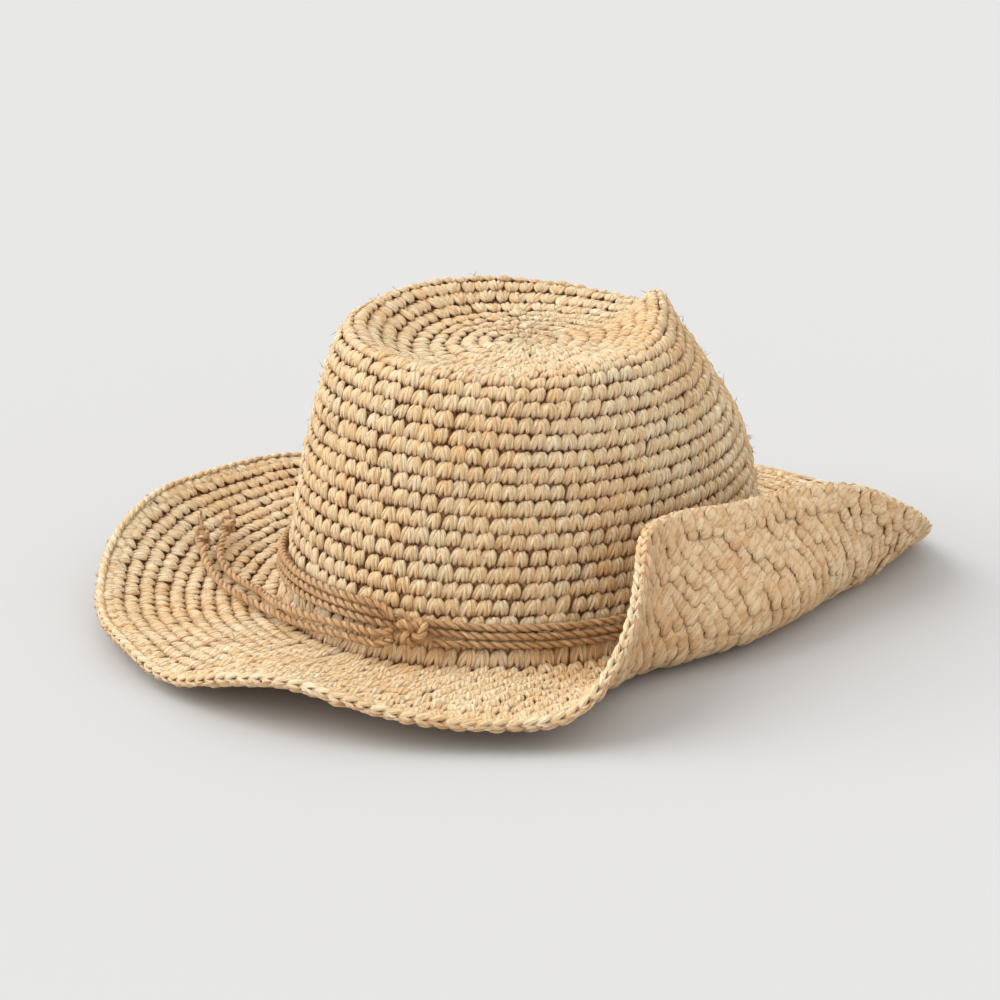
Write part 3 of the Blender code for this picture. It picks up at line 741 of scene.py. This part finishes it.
def work_piece(name, node_name, first, last):
    right, wrong = Worked(), Worked()
    work_rounds(right, wrong, NODES[node_name], range(first, last))
    right.finish(name + "_stitches", RAFFIA, stands_for=[node_name])
    wrong.finish(name + "_wrong_side", SHADED_WRONG_SIDE, stands_for=[node_name])


work_piece("crown_side_lower", "crown_side", 0, 7)
work_piece("crown_side_middle", "crown_side", 7, 14)
work_piece("crown_side_upper", "crown_side", 14, TIP_START)
work_piece("crown_tip", "crown_tip", TIP_START, CROWN_ROUNDS)
work_piece("brim_outer", "brim", -1, 3)
work_piece("brim_middle", "brim", 3, 7)
work_piece("brim_inner", "brim", 7, BRIM_ROUNDS)

# %% [markdown]
# ## The braided edge
#
# The last round of the brim is a chain, worked over a thin wire, so the rim keeps its shape. A
# chain is a row of flat Vs, each coming out of the one before. Both legs of a V start at the very
# edge; one goes up over the rim and one goes under it.

# %% The rim's own path and its chain
EDGE_RADIUS = 3 * MM
EDGE_MOUTH = 125
SEAM_GAP = 1 * MM
CHAIN = 5.4 * MM


def rim_frames():
    """The edge's middle, with the directions beyond the rim and up off the brim, for every angle."""
    rim = brim_cloth.points[:, 0]
    forward = np.gradient(rim, axis=0)
    forward[0] = forward[-1] = rim[1] - rim[-2]
    forward /= np.linalg.norm(forward, axis=1, keepdims=True)
    up = np.cross(rim - brim_cloth.points[:, 2], forward)
    up /= np.linalg.norm(up, axis=1, keepdims=True)
    beyond = np.cross(forward, up)
    mouth = -EDGE_RADIUS * math.cos(math.radians(EDGE_MOUTH))
    return rim - FABRIC / 2 * up + (SEAM_GAP + mouth) * beyond, beyond, up


def closed_lookup(table, lengths, at):
    at = at % lengths[-1]
    return np.stack([np.interp(at, lengths, table[:, k]) for k in range(3)], -1)


def braided_edge():
    middle, beyond, up = rim_frames()
    lengths = np.concatenate([[0], np.cumsum(np.linalg.norm(np.diff(middle, axis=0), axis=1))])
    count = int(round(lengths[-1] / CHAIN))
    t = np.linspace(0, 1, 6)
    plump = np.array([0.35, 0.9, 1.0, 1.0, 0.8, 0.35])
    edge = Worked()
    for way in (1, -1):
        wobble = rng.normal(0, 1, (count, 4))
        starts = (np.arange(count) + 0.04 * wobble[:, 0]) / count * lengths[-1]
        run = starts[:, None] + (-0.35 + 1.75 * t[None]) * CHAIN
        turn = np.radians(way * (-8 + 118 * t[None] ** 0.8 + 4 * wobble[:, 1:2]))
        reach = (0.75 + 0.75 * np.sin(np.pi * t) ** 0.7)[None] * MM * (1 + 0.05 * wobble[:, 2:3])
        centre, out, off = (closed_lookup(table, lengths, run) for table in (middle, beyond, up))
        radial = np.cos(turn)[..., None] * out + np.sin(turn)[..., None] * off
        centres = centre + reach[..., None] * radial
        strands = np.stack([chain_leg(line, top, plump) for line, top in zip(centres, radial)])
        # Painted shade: each chain leg is drawn darker towards its thin ends, where it tucks under the next.
        shade_depth = np.tile(plump[LEG.ring] * 0.6, count)
        edge.add(strands, LEG, rng.random(count), shade_depth)
    return edge.finish("braided_edge", RAFFIA, stands_for=["brim_edge_round"])


def chain_leg(line, top, plump):
    run = np.gradient(line, axis=0)
    side = np.cross(run, top)
    side /= np.linalg.norm(side, axis=1, keepdims=True)
    return swept(LEG, line, side, top, 1.45 * MM * plump, 0.95 * MM * plump)


braided_edge()

# %% [markdown]
# ## The hatband and its tails
#
# One two-ply raffia cord goes three times round the crown's foot and is knotted at the back. Its
# ends hang over the brim. A ply is a long strand that winds round the cord's centre line, so the
# twist shows in the outline, which a bump pattern can't give. The routes repeat the frame's own.

# %% The cords' routes
CORD_RADIUS = 1.5 * MM
GAP = 0.3 * MM
BAND_TURNS = 3
BAND_RISE = 5 * MM
BAND_LIFT = 4 * MM
BAND_LIFT_ANGLE = 80
BAND_LIFT_SPREAD = 75
KNOT_ANGLE = 107
KNOT_HALF = (6.5 * MM, 4.0 * MM, 5.6 * MM)
KNOT_CLEAR = 9 * MM
END_OUT = 1.9  # how much further out than the band its two ends run up to the knot
END_REACH = 0.75  # how much of the way to the knot they do so
STEPS_A_TURN = 48
LONG_TAIL_UP, SHORT_TAIL_UP = 0.06, -0.62  # where the tails leave the knot, in halves of its height
CORD_STEP = 7.5 * MM
# the tails' points: the stations' angle, the way across the brim and the lift off it in millimetres
LONG_TAIL = (
    (100, 12.6, 11.0), (93, 10.2, 10.8), (85, 8.2, 10.0), (76, 8.4, 8.2), (66, 8.8, 6.0),
    (57, 11.5, 4.0), (49, 17.5, 2.7), (42.6, 25.3, 2.3), (37.7, 30.8, 2.3), (33.6, 34.2, 2.3),
    (29.0, 36.8, 2.6), (25.5, 38.8, 3.9),
)
SHORT_TAIL = (
    (100, 12.2, 6.8), (93, 10.0, 6.7), (85, 8.2, 5.9), (77, 8.8, 4.4), (69, 10.5, 3.0), (62, 14.0, 2.5),
    (55, 20.5, 2.3), (48, 27.2, 2.3), (42, 33.2, 2.3), (37, 38.5, 2.4), (33.4, 42.0, 3.9),
)


def table_row(table, angle):
    angle = angle % 360
    i = min(int(angle), 359)
    return table[i] + (table[i + 1] - table[i]) * (angle - i)


def outward(angle):
    row = np.array([math.cos(math.radians(angle)) * HEAD_LENGTH, math.sin(math.radians(angle)) * HEAD_WIDTH, 0])
    return row / np.linalg.norm(row)


def beside_crown(angle, height, out):
    outline = table_row(crown_points, angle)
    radius = np.interp(height, outline[:60, 2], np.hypot(outline[:60, 0], outline[:60, 1]))
    turn = math.radians(angle)
    return np.array([radius * math.cos(turn), radius * math.sin(turn), height]) + out * outward(angle)


def band_height(angle):
    """How high the lowest turn of the band lies: it rides up behind the left ear."""
    away = abs((angle - BAND_LIFT_ANGLE + 180) % 360 - 180) / BAND_LIFT_SPREAD
    return BAND_RISE + BAND_LIFT * math.cos(math.pi / 2 * min(away, 1)) ** 2


def beside_knot(side, out, up):
    height = band_height(KNOT_ANGLE) + ((BAND_TURNS - 1) * (2 * CORD_RADIUS + GAP) + CORD_RADIUS) / 2
    middle = beside_crown(KNOT_ANGLE, height, 2 * CORD_RADIUS + 3 * GAP + KNOT_HALF[1])
    along_band = np.cross([0, 0, 1], outward(KNOT_ANGLE))
    point = middle + side * (KNOT_HALF[0] + 2 * GAP) * along_band + out * KNOT_HALF[1] * outward(KNOT_ANGLE)
    return point + np.array([0, 0, up * KNOT_HALF[2]])


def over_brim(angle, across, lift):
    """A point over the brim, from the stations' angle, the way across and the lift."""
    outline = table_row(brim_points, angle)[::-1]
    place = across / BRIM_WIDTH * BRIM_ROUNDS * PER_ROUND
    i = min(int(place), len(outline) - 2)
    point = outline[i] + (outline[i + 1] - outline[i]) * (place - i)
    step = outline[i + 1] - outline[i]
    rise = math.atan2(step[2], math.hypot(step[0], step[1]))
    return point + lift * (math.cos(rise) * np.array([0, 0, 1]) - math.sin(rise) * outward(angle))


def smooth_run(points, step):
    """Evenly spaced points on a smooth curve through the given ones."""
    points = np.array(points)
    padded = np.concatenate([[2 * points[0] - points[1]], points, [2 * points[-1] - points[-2]]])
    t = np.linspace(0, 1, 12, endpoint=False)[:, None]
    spans = []
    for a, b, c, d in zip(padded, padded[1:], padded[2:], padded[3:]):
        pull = (c - a) * t + (2 * a - 5 * b + 4 * c - d) * t**2 + (3 * b - a - 3 * c + d) * t**3
        spans.append(b + pull / 2)
    return even_points(np.concatenate([*spans, points[-1:]]), step)


def even_points(line, step):
    lengths = np.concatenate([[0], np.cumsum(np.linalg.norm(np.diff(line, axis=0), axis=1))])
    wanted = np.linspace(0, lengths[-1], int(round(lengths[-1] / step)) + 1)
    return np.stack([np.interp(wanted, lengths, line[:, k]) for k in range(3)], 1)


def run_length(line):
    return float(np.linalg.norm(np.diff(line, axis=0), axis=1).sum())


def tail_route(stations, up):
    start = beside_knot(-1, 0.25, up)
    on_brim = [over_brim(angle, across * MM, lift * MM) for angle, across, lift in stations]
    return smooth_run([start, *on_brim], CORD_STEP) + np.array(HEAD)


def hatband_route():
    pitch, out = 2 * CORD_RADIUS + GAP, CORD_RADIUS + 2 * GAP
    clear = math.degrees((KNOT_HALF[0] + KNOT_CLEAR) / (HEAD_WIDTH / 2))
    turned = 360 * BAND_TURNS - 2 * clear
    first, last = KNOT_ANGLE + END_REACH * clear, KNOT_ANGLE - END_REACH * clear
    points = [beside_knot(1, -0.45, -0.65), beside_crown(first, band_height(first), END_OUT * out)]
    for turn in clear + turned * np.linspace(0, 1, round(turned / 360 * STEPS_A_TURN) + 1):
        angle = KNOT_ANGLE + turn
        points.append(beside_crown(angle, band_height(angle) + pitch * turn / 360, out))
    top = band_height(last) + pitch * BAND_TURNS + GAP
    points += [beside_crown(last, top, END_OUT * out), beside_knot(-1, -0.45, 0.72)]
    return np.array(points) + np.array(HEAD)


band_route = hatband_route()
long_route = tail_route(LONG_TAIL, LONG_TAIL_UP)
short_route = tail_route(SHORT_TAIL, SHORT_TAIL_UP)
print("Cord lengths:", [round(run_length(route), 4) for route in (band_route, long_route, short_route)])

# %% [markdown]
# A ply keeps its own width all along and its radius is a little more than half the cord's, so that
# the two plies press together. The route is refined first, because the twist needs a ring about
# every half millimetre.

# %% Two plies along a route
PLY_RADIUS = 0.86 * MM
PLY_OFFSET = 0.70 * MM
TWIST = 8.5 * MM


def line_frames(line):
    """Directions along, across and off a line of points, turning as little as they can."""
    run = np.gradient(line, axis=0)
    run /= np.linalg.norm(run, axis=1, keepdims=True)
    across = np.zeros_like(run)
    across[0] = np.cross(run[0], [0.0, 0.0, 1.0] if abs(run[0][2]) < 0.9 else [1.0, 0.0, 0.0])
    across[0] /= np.linalg.norm(across[0])
    for i in range(1, len(run)):
        side = across[i - 1] - np.dot(across[i - 1], run[i]) * run[i]
        across[i] = side / np.linalg.norm(side)
    return run, across, np.cross(run, across)


def plies(worked, line, sides=9, radius=PLY_RADIUS, offset=PLY_OFFSET, twist=TWIST):
    run, across, off = line_frames(line)
    lengths = np.concatenate([[0], np.cumsum(np.linalg.norm(np.diff(line, axis=0), axis=1))])
    strand = Strand(sides, len(line) - 1)
    for k in range(2):
        turn = lengths / twist * math.tau + k * math.pi
        wander = 1 + 0.06 * np.sin(lengths * 900 + 2 * k) + 0.05 * np.sin(lengths * 2300 + k)
        outwards = np.cos(turn)[:, None] * across + np.sin(turn)[:, None] * off
        centres = line + offset * outwards
        ply_run = np.gradient(centres, axis=0)
        ply_run /= np.linalg.norm(ply_run, axis=1, keepdims=True)
        side = np.cross(ply_run, outwards)
        side /= np.linalg.norm(side, axis=1, keepdims=True)
        ends = np.minimum(1, np.minimum(np.arange(len(line)), np.arange(len(line))[::-1]) / 3 + 0.4)
        points = swept(strand, centres, side, outwards, 1.12 * radius * wander * ends, radius * wander * ends)
        # Painted shade: the side of each ply that faces into the cord is drawn darker than its outer side.
        height = np.sin(strand.points[:, 0] * math.tau)
        worked.add(points[None], strand, [rng.random()], 0.28 + 0.30 * height, stretch=lengths[-1] / STRAND_MAP)


band = Worked()
plies(band, smooth_run(band_route, 0.8 * MM), sides=7)
band.finish("hatband_twisted_cord", CORD, "hatband", "raffia_cord", ["hatband_cord"])
for name, route in (("tail_long", long_route), ("tail_short", short_route)):
    tail = Worked()
    plies(tail, smooth_run(route, 0.7 * MM))
    tail.finish(name + "_twisted_cord", CORD, "hatband", "raffia_cord", [name])

# %% [markdown]
# ## Knots and frayed ends
#
# The three knots are overhand knots, pulled tight. An overhand knot's path is the open trefoil, so
# the same twisted cord is led along that curve, scaled into the knot's box. Beyond the two end
# knots the last of each tail frays into loose strips.

# %% Knots
def trefoil(half, strand):
    """An overhand knot's path about the origin, in a box of half sizes, for a strand's half width."""
    t = np.linspace(0.15, math.tau + 0.05, 90)
    path = np.stack([np.sin(t) + 2 * np.sin(2 * t), -np.sin(3 * t), np.cos(t) - 2 * np.cos(2 * t)], 1)
    path -= (path.max(0) + path.min(0)) / 2
    reach = (path.max(0) - path.min(0)) / 2
    return path / reach * (np.array(half) - strand)


def turned_to(path, x_axis, y_axis, middle):
    z_axis = np.cross(x_axis, y_axis)
    return path[:, :1] * x_axis + path[:, 1:2] * y_axis + path[:, 2:] * z_axis + middle


def heading(route):
    step = route[-1] - route[-2]
    return step / np.linalg.norm(step)


knot_out = outward(KNOT_ANGLE)
knot_along = np.cross([0, 0, 1], knot_out)
knot_middle = (beside_knot(1, 0, 0) + beside_knot(-1, 0, 0)) / 2 + np.array(HEAD)
knot = Worked()
path = turned_to(trefoil(KNOT_HALF, 1.75 * MM), -knot_along, knot_out, knot_middle)
plies(knot, even_points(path, 0.6 * MM), radius=1.05 * MM, offset=0.8 * MM, twist=9 * MM)
knot.finish("hatband_overhand_knot", CORD, "hatband", "raffia_cord", ["hatband_knot"])

END_KNOT_RADIUS = 3.3 * MM
END_KNOT_STRETCH = 1.35
end_pieces = {}
for name, route in (("tail_long", long_route), ("tail_short", short_route)):
    ahead = heading(route)
    middle = route[-1] + (END_KNOT_RADIUS * END_KNOT_STRETCH + GAP) * ahead
    aside = np.cross([0, 0, 1], ahead)
    aside /= np.linalg.norm(aside)
    half = (END_KNOT_RADIUS * END_KNOT_STRETCH, END_KNOT_RADIUS, END_KNOT_RADIUS)
    knot = Worked()
    path = turned_to(trefoil(half, 1.25 * MM), ahead, aside, middle)
    plies(knot, even_points(path, 0.5 * MM), radius=0.78 * MM, offset=0.55 * MM, twist=7 * MM)
    end_pieces[name] = [knot.finish(name + "_end_knot", CORD, "hatband", "raffia_cord", [name + "_knot"])]

# %% [markdown]
# The frayed ends are flat, slightly curled strips. The long tail's strips stand up a little; one
# strip of the short tail is bent back into a small loop.

# %% Frayed ends
FRAY = Strand(6, 16)


def fray(worked, start, ahead, lift, aside, length, bend, sway, width):
    """One loose strip, bending by an angle over its length."""
    t = np.linspace(0, 1, 17)
    turn = bend * t**1.3
    step = length / 16
    forward = np.cos(turn)[:, None] * ahead + np.sin(turn)[:, None] * lift + (sway * t)[:, None] * aside
    line = start + np.concatenate([np.zeros((1, 3)), np.cumsum(forward[:-1] * step, 0)])
    run, across, off = line_frames(line)
    taper = np.clip(1.15 - t, 0.15, 1)
    points = swept(FRAY, line, across, off, width * taper, 0.30 * MM * taper)
    worked.add(points[None], FRAY, [rng.random()], np.full(len(points), 0.35), stretch=length / STRAND_MAP)


UP = np.array([0.0, 0.0, 1.0])
# each strip's length in millimetres, its bend and sway, and half its width in millimetres
frays = {
    "tail_long": [
        (9.5, 0.7, 0.10, 0.9), (8.0, 0.5, -0.35, 0.8), (7.0, 0.9, 0.40, 0.7), (5.0, 0.3, -0.10, 0.6)
    ],
    "tail_short": [
        (9.0, 0.4, 0.30, 0.9), (14.0, 3.9, 0.05, 0.7), (6.0, 0.2, -0.30, 0.7), (5.0, 0.8, 0.45, 0.5)
    ],
}
for name, route in (("tail_long", long_route), ("tail_short", short_route)):
    ahead = heading(route)
    aside = np.cross(UP, ahead)
    aside /= np.linalg.norm(aside)
    start = route[-1] + (2 * END_KNOT_RADIUS * END_KNOT_STRETCH - 1.2 * MM) * ahead
    strips = Worked()
    for length, bend, sway, width in frays[name]:
        fray(strips, start, ahead, UP, aside, length * MM, bend, sway, width * MM)
    end_pieces[name].append(strips.finish(name + "_frayed_end", CORD, "hatband", "raffia_cord"))

# %% [markdown]
# ## Stray fibres
#
# Dry raffia splits, so fine hairs stand off the cloth all over, and they show most along the hat's
# outline. Each is a thin curved strand rooted in the cloth.

# %% Hairs
HAIR = Strand(3, 5)


def hairs(name, cloth, count, side, first, last):
    """Stray fibres on the outer side (1) or the wrong side (-1) of some rounds."""
    worked = Worked()
    sunk = 0 if side > 0 else FABRIC

    def spot(angle, level, lift):
        return cloth.place(np.array([angle]), np.array([level]), np.array([side * lift * MM - sunk]))[0]

    t = np.linspace(0, 1, 6)
    for _ in range(count):
        angle, level = rng.random() * 360, first + rng.random() * (last - first)
        length = (1.2 + 3.0 * rng.random() ** 2) * MM
        here, above = spot(angle, level, 0.2), spot(angle, level, 1.2)
        ahead = spot(angle + 0.5, level + 0.1 * rng.normal(), 0.2)
        off = (above - here) / np.linalg.norm(above - here)
        along = (ahead - here) / np.linalg.norm(ahead - here) * rng.choice([-1, 1])
        tilt = 0.25 + 0.9 * rng.random()
        turn = tilt * (1 - t) + (0.1 + 0.9 * rng.random()) * t
        direction = np.cos(turn)[:, None] * along + np.sin(turn)[:, None] * off
        line = here + np.concatenate([np.zeros((1, 3)), np.cumsum(direction[:-1] * length / 5, 0)])
        _, across, normal = line_frames(line)
        taper = (0.08 + 0.09 * rng.random()) * MM * (1.1 - t)
        worked.add(swept(HAIR, line, across, normal, taper * 1.5, taper)[None], HAIR, [rng.random() * 0.5],
                   np.full(len(HAIR.points), 0.35), stretch=length / STRAND_MAP)
    return worked.finish(name, RAFFIA)


hairs("crown_stray_fibres", crown_cloth, 700, 1, 0, CROWN_ROUNDS - 1)
hairs("brim_stray_fibres", brim_cloth, 450, 1, 0, BRIM_ROUNDS)
hairs("underside_stray_fibres", brim_cloth, 500, -1, 0, BRIM_ROUNDS)

# %% [markdown]
# ## Sweatband, seam and wire
#
# Inside the crown a ribbed cotton band takes up sweat; a zigzag of thread holds it. In the rim runs
# a thin steel wire. The frame's shapes are right, so they only get finishes. The ribs stand
# upright all round the oval, so they are drawn by the angle about the head's axis.

# %% Finishes of the frame's own pieces
def plain_material(name, colour, roughness, metallic=0.0):
    material = bpy.data.materials.new(name)
    material.use_nodes = True
    principled = material.node_tree.nodes["Principled BSDF"]
    principled.inputs["Base Color"].default_value = (*colour, 1)
    principled.inputs["Roughness"].default_value = roughness
    principled.inputs["Metallic"].default_value = metallic
    return material, material.node_tree, principled


def cotton_material():
    material, tree, principled = plain_material("ribbed_cotton", (0.80, 0.74, 0.63), 0.9)
    place = node(tree, "ShaderNodeTexCoord", "Place on the band")
    split = node(tree, "ShaderNodeSeparateXYZ", "From the axis", {"Vector": centred(tree, place)})
    angle = node(tree, "ShaderNodeMath", "Angle round the head",
                 {0: split.outputs["Y"], 1: split.outputs["X"]}, operation="ARCTAN2")
    rib = node(tree, "ShaderNodeMath", "Ribs", {0: angle.outputs[0], 1: 420.0}, operation="MULTIPLY")
    rib_wave = node(tree, "ShaderNodeMath", "Rib wave", {0: rib.outputs[0]}, operation="SINE")
    row = node(tree, "ShaderNodeMath", "Rows", {0: split.outputs["Z"], 1: 5200.0}, operation="MULTIPLY")
    row_wave = node(tree, "ShaderNodeMath", "Row wave", {0: row.outputs[0]}, operation="SINE")
    weave = node(tree, "ShaderNodeMath", "Weave", {0: rib_wave.outputs[0], 1: 0.7, 2: row_wave.outputs[0]},
                 operation="MULTIPLY_ADD")
    lint = node(tree, "ShaderNodeTexNoise", "Uneven yarn",
                {"Vector": place.outputs["Object"], "Scale": 420.0, "Detail": 3.0})
    # Painted shade: the weave's hollows are drawn darker than the yarn tops; the lint noise is the cotton's own
    # unevenness.
    share = node(tree, "ShaderNodeMapRange", "Painted shade between the yarns",
                 {"Value": weave.outputs[0], "From Min": -1.7, "From Max": 1.7})
    mixed = node(tree, "ShaderNodeMath", "Weave and lint",
                 {0: lint.outputs["Fac"], 1: 0.5, 2: share.outputs[0]}, operation="MULTIPLY_ADD")
    colour = node(tree, "ShaderNodeMapRange", "Colour share", {"Value": mixed.outputs[0], "From Max": 1.3})
    tone = node(tree, "ShaderNodeMix", "Cotton tones", data_type="RGBA")
    tree.links.new(colour.outputs[0], tone.inputs[0])
    tone.inputs[6].default_value = (0.52, 0.45, 0.34, 1)
    tone.inputs[7].default_value = (0.86, 0.80, 0.68, 1)
    bump = node(tree, "ShaderNodeBump", "Weave relief", {"Height": weave.outputs[0]})
    bump.inputs["Strength"].default_value = 0.5
    bump.inputs["Distance"].default_value = 0.15 * MM
    tree.links.new(tone.outputs[2], principled.inputs["Base Color"])
    tree.links.new(bump.outputs["Normal"], principled.inputs["Normal"])
    return material


def centred(tree, place):
    """Object coordinates, measured from the head's axis."""
    moved = node(tree, "ShaderNodeMapping", "About the head's axis",
                 {"Vector": place.outputs["Object"], "Location": (-HEAD.x, -HEAD.y, 0)})
    return moved.outputs["Vector"]


def thread_material():
    material, tree, principled = plain_material("waxed_thread", (0.86, 0.80, 0.68), 0.6)
    place = node(tree, "ShaderNodeTexCoord", "Place on the thread")
    fuzz = node(tree, "ShaderNodeTexNoise", "Twisted yarn",
                {"Vector": place.outputs["Object"], "Scale": 1500.0})
    tone = node(tree, "ShaderNodeMix", "Thread tones", data_type="RGBA")
    tree.links.new(fuzz.outputs["Fac"], tone.inputs[0])
    tone.inputs[6].default_value = (0.72, 0.63, 0.48, 1)
    tone.inputs[7].default_value = (0.93, 0.88, 0.78, 1)
    tree.links.new(tone.outputs[2], principled.inputs["Base Color"])
    return material


def steel_material():
    material, tree, principled = plain_material("spring_steel", (0.60, 0.60, 0.58), 0.35, 1.0)
    place = node(tree, "ShaderNodeTexCoord", "Place on the wire")
    drawn = node(tree, "ShaderNodeTexNoise", "Drawing marks",
                 {"Vector": place.outputs["Object"], "Scale": 900.0})
    rough = node(tree, "ShaderNodeMapRange", "Duller marks",
                 {"Value": drawn.outputs["Fac"], "To Min": 0.25, "To Max": 0.5})
    tree.links.new(rough.outputs[0], principled.inputs["Roughness"])
    return material


for node_name, material in (
    ("sweatband", cotton_material()),
    ("sweatband_seam_thread", thread_material()),
    ("brim_edge_wire", steel_material()),
):
    mesh = bpy.data.objects[node_name].data
    mesh.materials.clear()
    mesh.materials.append(material)
    print(node_name, "->", material.name)

# %% [markdown]
# ## Floor and light
#
# A plain pale floor, a big soft key from the camera's left, well above the hat, and an even pale
# surrounding light, as in a product studio. A sun lamp with a wide angle is as soft as a large
# window and lights the floor evenly.

# %% Floor, sun and surroundings
bm = bmesh.new()
bmesh.ops.create_grid(bm, x_segments=1, y_segments=1, size=12)
floor_mesh = bpy.data.meshes.new("floor")
bm.to_mesh(floor_mesh)
bm.free()
floor = bpy.data.objects.new("floor", floor_mesh)
bpy.context.scene.collection.objects.link(floor)
floor_material, floor_tree, floor_shader = plain_material("pale_floor", (0.56, 0.563, 0.568), 0.9)
floor_shader.inputs["Specular IOR Level"].default_value = 0.1
floor_mesh.materials.append(floor_material)

KEY_AZIMUTH = CAMERA_AZIMUTH - math.radians(90)
KEY_ELEVATION = math.radians(42)
key = bpy.data.objects.new("key", bpy.data.lights.new("key", "SUN"))
key.data.energy = 2.05
key.data.angle = math.radians(60)
key.data.color = (1.0, 0.98, 0.95)
key_level = math.cos(KEY_ELEVATION)
key_from = Vector((
    math.sin(KEY_AZIMUTH) * key_level, -math.cos(KEY_AZIMUTH) * key_level, math.sin(KEY_ELEVATION)
))
key.rotation_euler = key_from.to_track_quat("Z", "Y").to_euler()
bpy.context.scene.collection.objects.link(key)

world = bpy.data.worlds.new("studio")
world.use_nodes = True
world.node_tree.nodes["Background"].inputs["Color"].default_value = (1.0, 0.995, 0.985, 1)
world.node_tree.nodes["Background"].inputs["Strength"].default_value = 1.0
bpy.context.scene.world = world
bpy.context.scene.view_settings.view_transform = "Standard"
print("Key from azimuth", round(math.degrees(KEY_AZIMUTH)))
